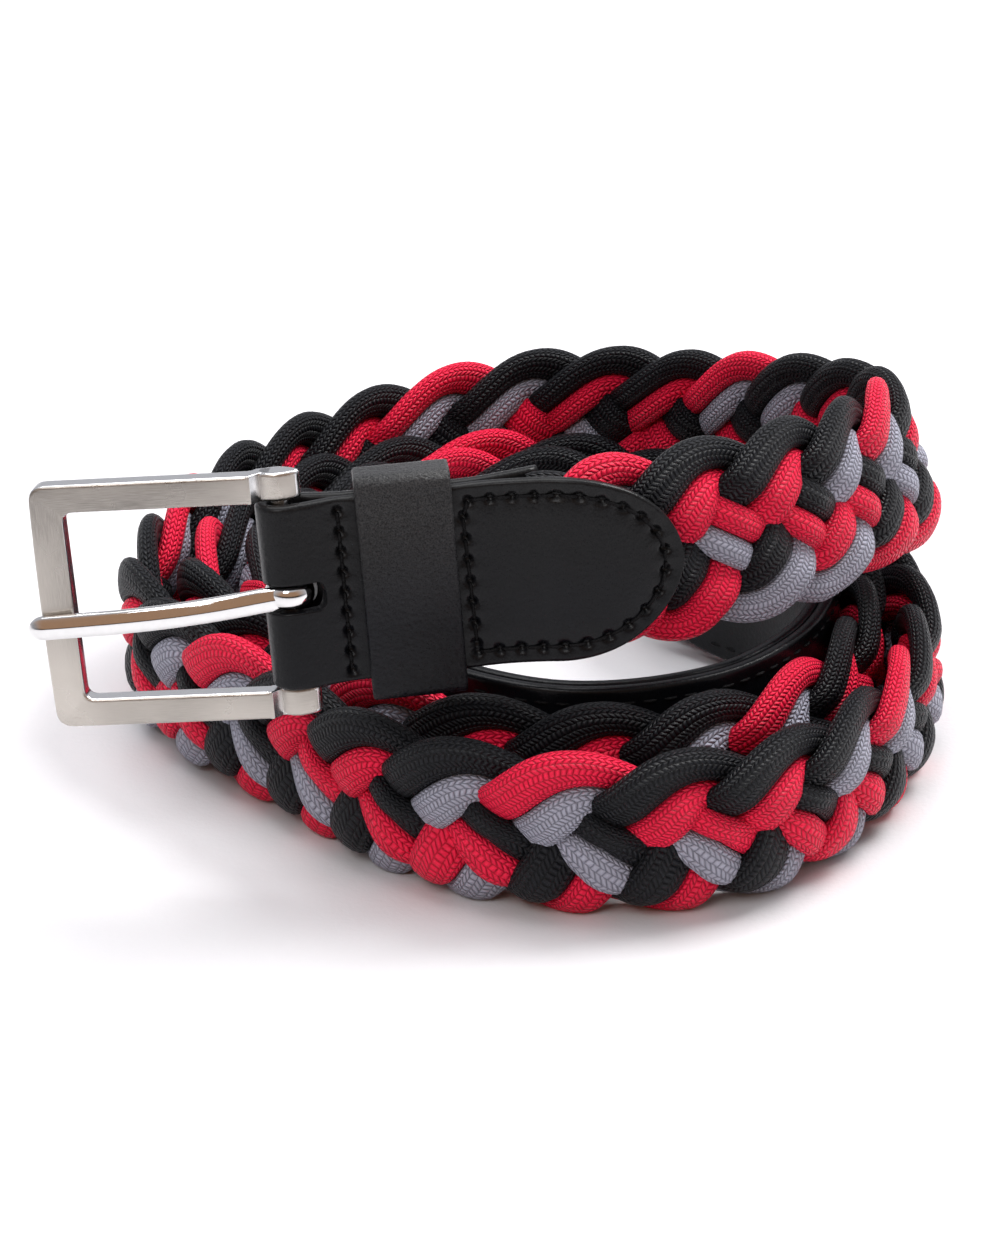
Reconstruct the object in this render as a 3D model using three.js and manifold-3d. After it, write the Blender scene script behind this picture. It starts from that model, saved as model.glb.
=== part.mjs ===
// A braided cord belt with leather ends and a metal buckle, lying loosely coiled.
// Millimetres, +Z up. The belt's path starts at the buckle's bar, at the front on the left,
// and runs to the right, round the back and down in three turns, to the pointed tail.
// Along the path a place is given by s (distance from the bar), across (up the belt's width)
// and out (away from the coil's middle, through the belt's thickness).
import * as THREE from 'three';
import { mergeVertices } from 'three/addons/utils/BufferGeometryUtils.js';
import Module from 'manifold-3d';

const wasm = await Module();
wasm.setup();

// Belt
const BRAID_WIDTH = 35.5;
const BRAID_THICKNESS = 8.8;
const FIRST_CROSSING = 77; // from the bar to the first arch on the braid's edges that the leather leaves bare
const TIGHT_PITCH = 17.8; // from one arch to the next on the first turn
const TIGHT_ARCHES = 20; // how many arches have that pitch
const LOOSE_PITCH = 19.5; // on the other turns
const SCALLOP = 2.4; // how far the edge dips between two arches
const RELIEF = 0.7; // how far the crossings stand out of the braid's face
const STRAP_WIDTH = 33;
const LEATHER = 2.2;
const FIT_GAP = 0.3; // air kept between pieces

// Coil
const COIL_REACH = 80; // from the coil's middle to the belt's centre line, at the widest
const TURN_GAP = 0.8; // air between two turns that lie side by side
const STRAIGHT = 48.5; // stiff leather end, from the bar to where the coil's curve begins
const STRAIGHT_HEADING = 5; // degrees, its direction as seen from above
const STRAIGHT_RISE = 5.6; // degrees, how much it climbs away from the buckle
const BAR_LIFT = 0.6; // how much its end bends up at the bar

// Buckle end of the leather
const FRONT_COVER = 65.5; // from the bar to the cover's point
const FRONT_POINT = 21; // length of the point
const BACK_COVER = 44; // from the bar to its square end
const COVERS_PART = 32; // where the two covers part to hold the braid
const COVERS_OPEN = 56; // where they lie on the braid's full thickness
const SLOT_LENGTH = 8.5; // from the bar to the slot's end
const SLOT_WIDTH = 5.7;

// Keeper
const KEEPER_START = 14;
const KEEPER_LENGTH = 16.3;
const KEEPER_LEATHER = 2.0;
const KEEPER_SLACK = 2.6; // how much taller it is inside than the strap with its air
const KEEPER_CORNER = 2.4;

// Tail strap
const BILLET_LENGTH = 205;
const BILLET_POINT = 22;
const SOCKET = 26; // how far its two layers hold the braid's end
const SOCKET_TAPER = 16;
const SOCKET_SQUEEZE = 24; // length over which the braid is pressed thin before the socket
const HOLE_COUNT = 5;
const HOLE_SPACING = 25;
const HOLE_DIAMETER = 4.2;
const FIRST_HOLE = 62; // from the tip

// Buckle
const BAR_RADIUS = 1.9;
const FRAME_REACH = 42.3; // from the bar to the front bar's outer side
const FRAME_INSIDE = 33.7; // between the arms
const ARM_WIDTH = 5;
const FRONT_BAR_WIDTH = 5.5;
const FRAME_THICKNESS = 3.6;
const FRAME_RISE = 1.4; // the frame's middle stands this far out from the bar's axis
const FRAME_CORNER = 3.0;
const FRAME_WINDOW_CORNER = 1.2;
const FRAME_BEVEL = 0.6;
const BARREL_RADIUS = 2.7;
const FRAME_SWING = -10; // degrees, how the frame lies turned about its bar
const TONGUE_WIDTH = 4.2;
const TONGUE_BEVEL = 0.7;
const TONGUE_REACH = 44.8;
const TONGUE_DROOP = 3.2; // how much lower its tip lies than its eye, loose on the bar
const TONGUE_EYE = 1.4; // wall of the eye round the bar
const TONGUE_TIP = 6; // length of its rounded tip

const SECTIONS_PER_PITCH = 4;
const RIBBON_STEP = 4;
const TONGUE_STEPS = 18;
const STRAP_CHAMFER = 0.5;

const BAR_SEAT = BAR_RADIUS + FIT_GAP;
const FOLD_RADIUS = BAR_SEAT + LEATHER / 2;
const TURN_STEP = BRAID_THICKNESS + TURN_GAP;
const CLOSED_OFFSET = LEATHER / 2 + FIT_GAP / 2;
const OPEN_OFFSET = BRAID_THICKNESS / 2 + FIT_GAP + LEATHER / 2;
const SOCKET_OFFSET = BRAID_THICKNESS / 2 - LEATHER / 2; // the socket is as thick as the braid

// The coil, by hand. turn: degrees round from the front, to the right first. reach: share of COIL_REACH.
// layer: how many turns lie outside it. lift: lower edge's height, as a share of BRAID_WIDTH.
// lean: degrees that the belt's upper edge leans outward.
const COIL_ROWS = [
  { turn: 2, reach: 0.713, layer: 0, lift: 1.165, lean: -5 },
  { turn: 20, reach: 0.691, layer: 0, lift: 1.19, lean: -4 },
  { turn: 40, reach: 0.691, layer: 0, lift: 1.19, lean: -4 },
  { turn: 60, reach: 0.713, layer: 0, lift: 1.15, lean: -6 },
  { turn: 80, reach: 0.769, layer: 0, lift: 1.09, lean: -12 },
  { turn: 93, reach: 0.812, layer: 0, lift: 1.04, lean: -21 },
  { turn: 105, reach: 0.825, layer: 0, lift: 0.99, lean: -26 },
  { turn: 118, reach: 0.815, layer: 0, lift: 0.88, lean: -24 },
  { turn: 130, reach: 0.81, layer: 0, lift: 0.75, lean: -19 },
  { turn: 143, reach: 0.83, layer: 0, lift: 0.61, lean: -14 },
  { turn: 156, reach: 0.86, layer: 0, lift: 0.505, lean: -9 },
  { turn: 171, reach: 0.905, layer: 0, lift: 0.42, lean: -4 },
  { turn: 185, reach: 0.948, layer: 0, lift: 0.33, lean: -1 },
  { turn: 200, reach: 0.965, layer: 0, lift: 0.23, lean: 0 },
  { turn: 217, reach: 0.98, layer: 0, lift: 0.12, lean: 1 },
  { turn: 235, reach: 0.985, layer: 0, lift: 0.06, lean: 1 },
  { turn: 255, reach: 0.985, layer: 0, lift: 0.02, lean: 2 },
  { turn: 270, reach: 0.975, layer: 0, lift: 0, lean: 3 },
  { turn: 285, reach: 0.888, layer: 0, lift: 0, lean: 3 },
  { turn: 300, reach: 0.812, layer: 0, lift: 0, lean: 3 },
  { turn: 315, reach: 0.802, layer: 0, lift: 0, lean: 3 },
  { turn: 330, reach: 0.843, layer: 0, lift: 0, lean: 3 },
  { turn: 345, reach: 0.9, layer: 0, lift: 0, lean: 3 },
  { turn: 360, reach: 0.947, layer: 0, lift: 0, lean: 3 },
  { turn: 373, reach: 0.973, layer: 0, lift: 0, lean: 3 },
  { turn: 386, reach: 0.98, layer: 0, lift: 0, lean: 3 },
  { turn: 400, reach: 0.943, layer: 0, lift: 0, lean: 3 },
  { turn: 415, reach: 0.902, layer: 0, lift: 0, lean: 2 },
  { turn: 430, reach: 0.873, layer: 0, lift: 0, lean: -3 },
  { turn: 445, reach: 0.862, layer: 0, lift: 0, lean: -6 },
  { turn: 458, reach: 0.838, layer: 0, lift: 0, lean: -5 },
  { turn: 472, reach: 0.88, layer: 0.75, lift: 0, lean: -2 },
  { turn: 490, reach: 0.858, layer: 1, lift: 0, lean: 0 },
  { turn: 515, reach: 0.862, layer: 1, lift: 0, lean: 0 },
  { turn: 540, reach: 0.922, layer: 1, lift: 0, lean: 0 },
  { turn: 565, reach: 0.962, layer: 1, lift: 0, lean: 0 },
  { turn: 590, reach: 0.983, layer: 1, lift: 0, lean: 1 },
  { turn: 613, reach: 0.975, layer: 1, lift: 0, lean: 1 },
  { turn: 630, reach: 0.955, layer: 1, lift: 0, lean: 2 },
  { turn: 645, reach: 0.885, layer: 1, lift: 0, lean: 2 },
  { turn: 660, reach: 0.815, layer: 1, lift: 0, lean: 2 },
  { turn: 675, reach: 0.802, layer: 1, lift: 0, lean: 2 },
  { turn: 690, reach: 0.845, layer: 1, lift: 0, lean: 1 },
  { turn: 705, reach: 0.88, layer: 1, lift: 0, lean: 1 },
  { turn: 720, reach: 0.912, layer: 1, lift: 0, lean: 0 },
  { turn: 735, reach: 0.926, layer: 1, lift: 0, lean: 0 },
  { turn: 750, reach: 0.926, layer: 1, lift: 0, lean: 0 },
  { turn: 765, reach: 0.9, layer: 1, lift: 0, lean: 0 },
  { turn: 785, reach: 0.864, layer: 1, lift: 0, lean: 0 },
  { turn: 805, reach: 0.848, layer: 1, lift: 0, lean: 0 },
  { turn: 818, reach: 0.845, layer: 1.2, lift: 0, lean: 0 },
  { turn: 832, reach: 0.86, layer: 1.6, lift: 0, lean: 0 },
  { turn: 850, reach: 0.855, layer: 2, lift: 0, lean: 0 },
  { turn: 875, reach: 0.858, layer: 2, lift: 0, lean: 0 },
  { turn: 900, reach: 0.92, layer: 2, lift: 0, lean: 0 },
  { turn: 925, reach: 0.96, layer: 2, lift: 0, lean: 0 },
  { turn: 950, reach: 0.98, layer: 2, lift: 0, lean: 0 },
  { turn: 973, reach: 0.97, layer: 2, lift: 0, lean: 0 },
  { turn: 990, reach: 0.945, layer: 2, lift: 0, lean: 0 },
  { turn: 1005, reach: 0.87, layer: 2, lift: 0, lean: 0 },
  { turn: 1020, reach: 0.81, layer: 2, lift: 0, lean: 0 },
  { turn: 1035, reach: 0.8, layer: 2, lift: 0, lean: 0 },
  { turn: 1050, reach: 0.85, layer: 2, lift: 0.03, lean: 0 },
  { turn: 1065, reach: 0.9, layer: 2, lift: 0.03, lean: 0 },
  { turn: 1080, reach: 0.944, layer: 2, lift: 0.03, lean: 0 },
  { turn: 1095, reach: 0.955, layer: 2, lift: 0.03, lean: 0 },
  { turn: 1112, reach: 0.95, layer: 2, lift: 0.03, lean: 0 },
  { turn: 1130, reach: 0.92, layer: 2, lift: 0.03, lean: 0 },
  { turn: 1145, reach: 0.895, layer: 2, lift: 0.03, lean: 0 },
  { turn: 1165, reach: 0.88, layer: 2, lift: 0.03, lean: 0 },
  { turn: 1180, reach: 0.84, layer: 2, lift: 0.03, lean: 0 },
  { turn: 1195, reach: 0.8, layer: 2, lift: 0.03, lean: 0 },
  { turn: 1212, reach: 0.76, layer: 2, lift: 0.03, lean: 0 },
  { turn: 1235, reach: 0.752, layer: 2, lift: 0.03, lean: 0 },
];

// The tongue's side view, by hand. reach: share of TONGUE_REACH. top, under: heights out from the bar's axis,
// as shares of the frame's front face height.
const TONGUE_ROWS = [
  { reach: 0.02, top: 1.08, under: 0.3 },
  { reach: 0.1, top: 1.38, under: 0.62 },
  { reach: 0.25, top: 1.9, under: 1.02 },
  { reach: 0.45, top: 2.2, under: 1.42 },
  { reach: 0.65, top: 2.14, under: 1.42 },
  { reach: 0.85, top: 1.84, under: 1.16 },
  { reach: 0.97, top: 1.6, under: 1.12 },
  { reach: 1.0, top: 1.44, under: 1.22 },
];

// Path

function headingVector(heading, rise) {
  const level = Math.cos(THREE.MathUtils.degToRad(rise));
  const angle = THREE.MathUtils.degToRad(heading);
  return new THREE.Vector3(
    level * Math.cos(angle),
    level * Math.sin(angle),
    Math.sin(THREE.MathUtils.degToRad(rise)),
  );
}

function coilPoint(row) {
  const angle = THREE.MathUtils.degToRad(row.turn);
  const lean = THREE.MathUtils.degToRad(row.lean);
  const reach = COIL_REACH * row.reach - TURN_STEP * row.layer;
  const height = BRAID_WIDTH * (row.lift + Math.cos(lean) / 2);
  return new THREE.Vector3(reach * Math.sin(angle), -reach * Math.cos(angle), height);
}

function beltPath() {
  const coil = COIL_ROWS.map(coilPoint);
  const straight = headingVector(STRAIGHT_HEADING, STRAIGHT_RISE);
  const shares = [1, 0.5, 0.12];
  const lead = shares.map((share) => coil[0].clone().addScaledVector(straight, -STRAIGHT * share));
  lead[0].z += BAR_LIFT;
  const curve = new THREE.CatmullRomCurve3([...lead, ...coil], false, 'centripetal');
  curve.arcLengthDivisions = 4000;
  const leans = [...shares.map(() => COIL_ROWS[0].lean), ...COIL_ROWS.map((row) => row.lean)];
  return { curve, leans, length: curve.getLength() };
}

const path = beltPath();

// The belt's own axes at distance s along its path.
function frameAt(s) {
  const share = THREE.MathUtils.clamp(s / path.length, 0, 1);
  const t = path.curve.getUtoTmapping(share);
  const along = path.curve.getTangent(t);
  const place = path.curve.getPoint(t).addScaledVector(along, s - share * path.length);
  const row = Math.min(t * (path.leans.length - 1), path.leans.length - 1.001);
  const first = Math.floor(row);
  const lean = THREE.MathUtils.lerp(path.leans[first], path.leans[first + 1], row - first);
  const angle = THREE.MathUtils.degToRad(lean);
  const level = new THREE.Vector3(along.y, -along.x, 0).normalize();
  const upright = new THREE.Vector3().crossVectors(level, along);
  const up = upright.clone().multiplyScalar(Math.cos(angle)).addScaledVector(level, Math.sin(angle));
  const out = level.clone().multiplyScalar(Math.cos(angle)).addScaledVector(upright, -Math.sin(angle));
  return { place, along, up, out };
}

function pointAt(frame, across, out) {
  return frame.place.clone().addScaledVector(frame.up, across).addScaledVector(frame.out, out);
}

// Closed bodies

// Joins rings of points, all with the same count, into a closed body with flat ends.
function sweptSolid(rings) {
  const count = rings[0].length;
  const positions = [];
  const index = [];
  rings.forEach((ring) => ring.forEach((point) => positions.push(point.x, point.y, point.z)));
  for (let ring = 0; ring < rings.length - 1; ring += 1) {
    for (let side = 0; side < count; side += 1) {
      const a = ring * count + side;
      const b = ring * count + ((side + 1) % count);
      index.push(a, b, a + count);
      index.push(b, b + count, a + count);
    }
  }
  const last = (rings.length - 1) * count;
  for (let side = 1; side < count - 1; side += 1) {
    index.push(0, side + 1, side);
    index.push(last, last + side, last + side + 1);
  }
  const geometry = new THREE.BufferGeometry();
  geometry.setAttribute('position', new THREE.Float32BufferAttribute(positions, 3));
  geometry.setIndex(index);
  geometry.computeVertexNormals();
  return geometry;
}

function toManifold(geometry) {
  const bare = new THREE.BufferGeometry();
  bare.setAttribute('position', geometry.getAttribute('position').clone());
  bare.setIndex(geometry.getIndex());
  const merged = mergeVertices(bare, 1e-4);
  const mesh = new wasm.Mesh({
    numProp: 3,
    vertProperties: new Float32Array(merged.getAttribute('position').array),
    triVerts: new Uint32Array(merged.getIndex().array),
  });
  return new wasm.Manifold(mesh);
}

function fromManifold(solid) {
  const mesh = solid.getMesh();
  const geometry = new THREE.BufferGeometry();
  geometry.setAttribute('position', new THREE.Float32BufferAttribute(mesh.vertProperties, 3));
  geometry.setIndex(Array.from(mesh.triVerts));
  geometry.computeVertexNormals();
  return geometry;
}

function basisAt(frame, across = 0, out = 0) {
  const matrix = new THREE.Matrix4().makeBasis(frame.along, frame.up, frame.out);
  return matrix.setPosition(pointAt(frame, across, out));
}

// Braid

// How far the covers' middle planes lie from the belt's middle, at distance s from where they begin to part.
function coverOffset(s, start, end) {
  return THREE.MathUtils.lerp(CLOSED_OFFSET, OPEN_OFFSET, THREE.MathUtils.smoothstep(s, start, end));
}

const BILLET_START = path.length - BILLET_LENGTH;
const BRAID_START = THREE.MathUtils.lerp(COVERS_PART, COVERS_OPEN, 0.3);
const BRAID_END = BILLET_START + SOCKET * 0.7;

// Half the braid's thickness, squeezed where the leather holds it.
function braidHalf(s) {
  const inCovers = coverOffset(s, COVERS_PART, COVERS_OPEN) - LEATHER / 2 - FIT_GAP;
  const loose = THREE.MathUtils.smoothstep(BILLET_START - s, 0, SOCKET_SQUEEZE);
  const inSocket = THREE.MathUtils.lerp(SOCKET_OFFSET - LEATHER / 2 - FIT_GAP, BRAID_THICKNESS / 2, loose);
  return Math.min(inCovers, inSocket);
}

// Which arch of the plait is at distance s, counted from the first crossing, and the other way round.
const LOOSE_START = FIRST_CROSSING + TIGHT_ARCHES * TIGHT_PITCH;

function archAt(s) {
  if (s < LOOSE_START) {
    return (s - FIRST_CROSSING) / TIGHT_PITCH;
  }
  return TIGHT_ARCHES + (s - LOOSE_START) / LOOSE_PITCH;
}

function placeOfArch(arch) {
  if (arch < TIGHT_ARCHES) {
    return FIRST_CROSSING + arch * TIGHT_PITCH;
  }
  return LOOSE_START + (arch - TIGHT_ARCHES) * LOOSE_PITCH;
}

function braidRing(arch) {
  const s = placeOfArch(arch);
  const frame = frameAt(s);
  const half = braidHalf(s);
  const loose = Math.max(0, half / (BRAID_THICKNESS / 2) * 2 - 1);
  const wave = Math.cos(2 * Math.PI * arch);
  const held = THREE.MathUtils.lerp(0.84, 1, loose);
  const reach = (BRAID_WIDTH / 2) * held - loose * SCALLOP * (1 - wave) / 2;
  const face = (share) => {
    const crossing = wave * Math.cos(2 * Math.PI * share);
    return half - loose * RELIEF * (1 - crossing) / 2;
  };
  const shares = [-0.8, -0.45, 0, 0.45, 0.8];
  const edge = half * 0.45;
  const ring = [];
  shares.forEach((share) => ring.push(pointAt(frame, share * reach, face(share))));
  ring.push(pointAt(frame, reach, edge), pointAt(frame, reach, -edge));
  [...shares].reverse().forEach((share) => ring.push(pointAt(frame, share * reach, -face(share))));
  ring.push(pointAt(frame, -reach, -edge), pointAt(frame, -reach, edge));
  return ring.reverse();
}

function braid() {
  const first = archAt(BRAID_START);
  const last = archAt(BRAID_END);
  const rings = [braidRing(first)];
  const from = Math.floor(first * SECTIONS_PER_PITCH) + 1;
  const to = Math.ceil(last * SECTIONS_PER_PITCH) - 1;
  for (let section = from; section <= to; section += 1) {
    rings.push(braidRing(section / SECTIONS_PER_PITCH));
  }
  rings.push(braidRing(last));
  return sweptSolid(rings);
}

// Leather

// One section of a leather strip: s and out place its middle, turn is the strip's slope in degrees,
// half is half its width there.
function stripRing({ s, out, turn, half, thickness = LEATHER }) {
  const frame = frameAt(s);
  const angle = THREE.MathUtils.degToRad(turn);
  const skin = frame.out
    .clone()
    .multiplyScalar(Math.cos(angle))
    .addScaledVector(frame.along, -Math.sin(angle));
  const middle = pointAt(frame, 0, out);
  const side = thickness / 2;
  const inner = side - STRAP_CHAMFER;
  const narrow = half - STRAP_CHAMFER;
  const corners = [
    [half, -inner], [half, inner], [narrow, side], [-narrow, side],
    [-half, inner], [-half, -inner], [-narrow, -side], [narrow, -side],
  ];
  return corners.map(([across, through]) => {
    return middle.clone().addScaledVector(frame.up, across).addScaledVector(skin, through);
  });
}

// Half the width of a pointed end, at a distance from its tip.
function pointedHalf(fromTip, length) {
  const share = THREE.MathUtils.clamp(fromTip / length, 0, 1);
  const round = Math.sqrt(1 - (1 - share) ** 2);
  return Math.max((STRAP_WIDTH / 2) * round, STRAP_CHAMFER * 4);
}

function slopeOf(offset, s) {
  const step = 0.5;
  return THREE.MathUtils.radToDeg(Math.atan2(offset(s + step) - offset(s - step), 2 * step));
}

function steps(from, to, size) {
  const count = Math.max(2, Math.round(Math.abs(to - from) / size));
  return Array.from({ length: count + 1 }, (_, step) => from + ((to - from) * step) / count);
}

// The chape: back cover, fold round the bar and front cover, in one strip.
function chapeRows() {
  const fold = (s) => {
    const spread = THREE.MathUtils.smoothstep(s, 0, KEEPER_START - 1);
    return THREE.MathUtils.lerp(FOLD_RADIUS, CLOSED_OFFSET, spread);
  };
  const offset = (s) => (s < KEEPER_START ? fold(s) : coverOffset(s, COVERS_PART, COVERS_OPEN));
  const rows = [];
  steps(BACK_COVER, 0.6, RIBBON_STEP).forEach((s) => {
    rows.push({ s, out: -offset(s), turn: 180 - slopeOf(offset, s), half: STRAP_WIDTH / 2 });
  });
  for (let angle = 180; angle >= 0; angle -= 30) {
    const turn = THREE.MathUtils.degToRad(angle);
    rows.push({
      s: -FOLD_RADIUS * Math.sin(turn),
      out: FOLD_RADIUS * Math.cos(turn),
      turn: angle,
      half: STRAP_WIDTH / 2,
    });
  }
  const point = FRONT_COVER - FRONT_POINT;
  const front = [...steps(0.6, point, RIBBON_STEP), ...steps(point, FRONT_COVER, FRONT_POINT / 7).slice(1)];
  front.forEach((s) => {
    rows.push({ s, out: offset(s), turn: slopeOf(offset, s), half: pointedHalf(FRONT_COVER - s, FRONT_POINT) });
  });
  return rows;
}

function slotCutter() {
  const start = -(FOLD_RADIUS + LEATHER);
  const shape = new THREE.Shape();
  shape.moveTo(start, -SLOT_WIDTH / 2);
  shape.lineTo(SLOT_LENGTH - SLOT_WIDTH / 2, -SLOT_WIDTH / 2);
  shape.absarc(SLOT_LENGTH - SLOT_WIDTH / 2, 0, SLOT_WIDTH / 2, -Math.PI / 2, Math.PI / 2, false);
  shape.lineTo(start, SLOT_WIDTH / 2);
  shape.closePath();
  const depth = 4 * (FOLD_RADIUS + LEATHER);
  const geometry = new THREE.ExtrudeGeometry(shape, { depth, bevelEnabled: false, curveSegments: 6 });
  geometry.translate(0, 0, -depth / 2);
  return geometry.applyMatrix4(basisAt(frameAt(0)));
}

function chape() {
  const strip = toManifold(sweptSolid(chapeRows().map(stripRing)));
  return fromManifold(strip.subtract(toManifold(slotCutter())));
}

// One of the two layers that hold the braid's end, closing on the strap past the socket.
function billetLayer(side) {
  const offset = (s) => {
    const spread = THREE.MathUtils.smoothstep(s - BILLET_START, SOCKET - SOCKET_TAPER / 2, SOCKET + SOCKET_TAPER);
    return THREE.MathUtils.lerp(SOCKET_OFFSET, LEATHER / 2 - STRAP_CHAMFER / 4, spread);
  };
  const rows = steps(BILLET_START, BILLET_START + SOCKET + SOCKET_TAPER, RIBBON_STEP).map((s) => ({
    s,
    out: side * offset(s),
    turn: side * slopeOf(offset, s),
    half: STRAP_WIDTH / 2,
  }));
  return toManifold(sweptSolid(rows.map(stripRing)));
}

// The rest of the strap, two layers stitched into one thickness.
function billetStrap() {
  const start = BILLET_START + SOCKET + SOCKET_TAPER / 2;
  const point = path.length - BILLET_POINT;
  const places = [...steps(start, point, RIBBON_STEP), ...steps(point, path.length, BILLET_POINT / 7).slice(1)];
  const rows = places.map((s) => ({
    s,
    out: 0,
    turn: 0,
    half: pointedHalf(path.length - s, BILLET_POINT),
    thickness: 2 * LEATHER,
  }));
  return toManifold(sweptSolid(rows.map(stripRing)));
}

function billetHole(number) {
  const s = path.length - FIRST_HOLE - number * HOLE_SPACING;
  const geometry = new THREE.CylinderGeometry(HOLE_DIAMETER / 2, HOLE_DIAMETER / 2, LEATHER * 6, 12);
  geometry.rotateX(Math.PI / 2);
  return toManifold(geometry.applyMatrix4(basisAt(frameAt(s))));
}

function billet() {
  let strap = billetStrap().add(billetLayer(1)).add(billetLayer(-1));
  for (let number = 0; number < HOLE_COUNT; number += 1) {
    strap = strap.subtract(billetHole(number));
  }
  return fromManifold(strap);
}

function roundedRectangle(shape, width, height, radius) {
  const x = width / 2 - radius;
  const y = height / 2 - radius;
  shape.moveTo(-x, -height / 2);
  shape.absarc(x, -y, radius, -Math.PI / 2, 0, false);
  shape.absarc(x, y, radius, 0, Math.PI / 2, false);
  shape.absarc(-x, y, radius, Math.PI / 2, Math.PI, false);
  shape.absarc(-x, -y, radius, Math.PI, 1.5 * Math.PI, false);
  return shape;
}

function keeper() {
  const width = STRAP_WIDTH + 2 * FIT_GAP + KEEPER_SLACK;
  const depth = 2 * (CLOSED_OFFSET + LEATHER / 2 + FIT_GAP);
  const wall = 2 * KEEPER_LEATHER;
  const ring = roundedRectangle(new THREE.Shape(), width + wall, depth + wall, KEEPER_CORNER);
  ring.holes.push(roundedRectangle(new THREE.Path(), width, depth, KEEPER_CORNER / 4));
  const geometry = new THREE.ExtrudeGeometry(ring, {
    depth: KEEPER_LENGTH,
    bevelEnabled: false,
    curveSegments: 3,
  });
  geometry.rotateY(Math.PI / 2);
  geometry.rotateX(Math.PI / 2);
  return geometry;
}

// Buckle, in its own axes: the bar along y, the frame towards -x, its face towards +z.

function frameArms() {
  const outside = FRAME_INSIDE / 2 + ARM_WIDTH - FRAME_BEVEL;
  const inside = FRAME_INSIDE / 2 + FRAME_BEVEL;
  const far = -FRAME_REACH + FRAME_BEVEL;
  const near = -FRAME_REACH + FRONT_BAR_WIDTH - FRAME_BEVEL;
  const end = -FRAME_BEVEL;
  const corner = FRAME_CORNER - FRAME_BEVEL;
  const window = FRAME_WINDOW_CORNER + FRAME_BEVEL;
  const shape = new THREE.Shape();
  shape.moveTo(end, -outside);
  shape.lineTo(end, -inside);
  shape.lineTo(near + window, -inside);
  shape.absarc(near + window, -inside + window, window, 1.5 * Math.PI, Math.PI, true);
  shape.absarc(near + window, inside - window, window, Math.PI, Math.PI / 2, true);
  shape.lineTo(end, inside);
  shape.lineTo(end, outside);
  shape.absarc(far + corner, outside - corner, corner, Math.PI / 2, Math.PI, false);
  shape.absarc(far + corner, -outside + corner, corner, Math.PI, 1.5 * Math.PI, false);
  shape.closePath();
  const depth = FRAME_THICKNESS - 2 * FRAME_BEVEL;
  const geometry = new THREE.ExtrudeGeometry(shape, {
    depth,
    bevelThickness: FRAME_BEVEL,
    bevelSize: FRAME_BEVEL,
    bevelSegments: 2,
    curveSegments: 4,
  });
  return geometry.translate(0, 0, FRAME_RISE - depth / 2);
}

function frameBarrel(side) {
  const radius = BARREL_RADIUS;
  const half = ARM_WIDTH / 2;
  const bevel = FRAME_BEVEL;
  const profile = [
    [0, -half], [radius - bevel, -half], [radius, -half + bevel],
    [radius, half - bevel], [radius - bevel, half], [0, half],
  ].map(([x, y]) => new THREE.Vector2(x, y));
  const geometry = new THREE.LatheGeometry(profile, 20);
  return geometry.translate(0, side * (FRAME_INSIDE / 2 + half), 0);
}

function buckleFrame() {
  const bar = new THREE.CylinderGeometry(BAR_RADIUS, BAR_RADIUS, FRAME_INSIDE + ARM_WIDTH, 16);
  const joined = toManifold(frameArms())
    .add(toManifold(frameBarrel(1)))
    .add(toManifold(frameBarrel(-1)))
    .add(toManifold(bar));
  return fromManifold(joined);
}

// The tongue's section at a share of its reach: a chamfered bar between its under and top heights.
function tongueRing(share, top, under) {
  const fromTip = THREE.MathUtils.clamp(((1 - share) * TONGUE_REACH) / TONGUE_TIP, 0.04, 1);
  const half = (TONGUE_WIDTH / 2) * Math.sqrt(1 - (1 - fromTip) ** 2);
  const bevel = Math.min(TONGUE_BEVEL, half / 2, (top - under) / 3);
  const x = -TONGUE_REACH * share;
  const droop = TONGUE_DROOP * share;
  const corners = [
    [half, under + bevel], [half, top - bevel], [half - bevel, top], [-half + bevel, top],
    [-half, top - bevel], [-half, under + bevel], [-half + bevel, under], [half - bevel, under],
  ];
  return corners.map(([y, z]) => new THREE.Vector3(x, y - droop, z)).reverse();
}

function tongueProng() {
  const face = FRAME_RISE + FRAME_THICKNESS / 2;
  const tops = new THREE.SplineCurve(TONGUE_ROWS.map((row) => new THREE.Vector2(row.reach, face * row.top)));
  const unders = new THREE.SplineCurve(TONGUE_ROWS.map((row) => new THREE.Vector2(row.reach, face * row.under)));
  const rings = [];
  for (let step = 0; step <= TONGUE_STEPS; step += 1) {
    const top = tops.getPoint(step / TONGUE_STEPS);
    const under = unders.getPoint(step / TONGUE_STEPS);
    rings.push(tongueRing(top.x, top.y, under.y));
  }
  return toManifold(sweptSolid(rings));
}

function buckleTongue() {
  const eye = new THREE.CylinderGeometry(BAR_SEAT + TONGUE_EYE, BAR_SEAT + TONGUE_EYE, TONGUE_WIDTH, 24);
  const hole = new THREE.CylinderGeometry(BAR_SEAT, BAR_SEAT, TONGUE_WIDTH * 2, 24);
  return fromManifold(tongueProng().add(toManifold(eye)).subtract(toManifold(hole)));
}

// Materials

function material(color, roughness, metalness) {
  return new THREE.MeshStandardMaterial({ color, roughness, metalness });
}

const cordMaterial = material(0xb3182e, 0.85, 0);
const leatherMaterial = material(0x121214, 0.5, 0);
const keeperMaterial = material(0x17171a, 0.45, 0);
const brushedMaterial = material(0xb9b4ac, 0.38, 1);
const chromeMaterial = material(0xd8d6d2, 0.12, 1);

// Assembly

function namedMesh(name, geometry, finish) {
  const mesh = new THREE.Mesh(geometry, finish);
  mesh.name = name;
  return mesh;
}

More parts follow.
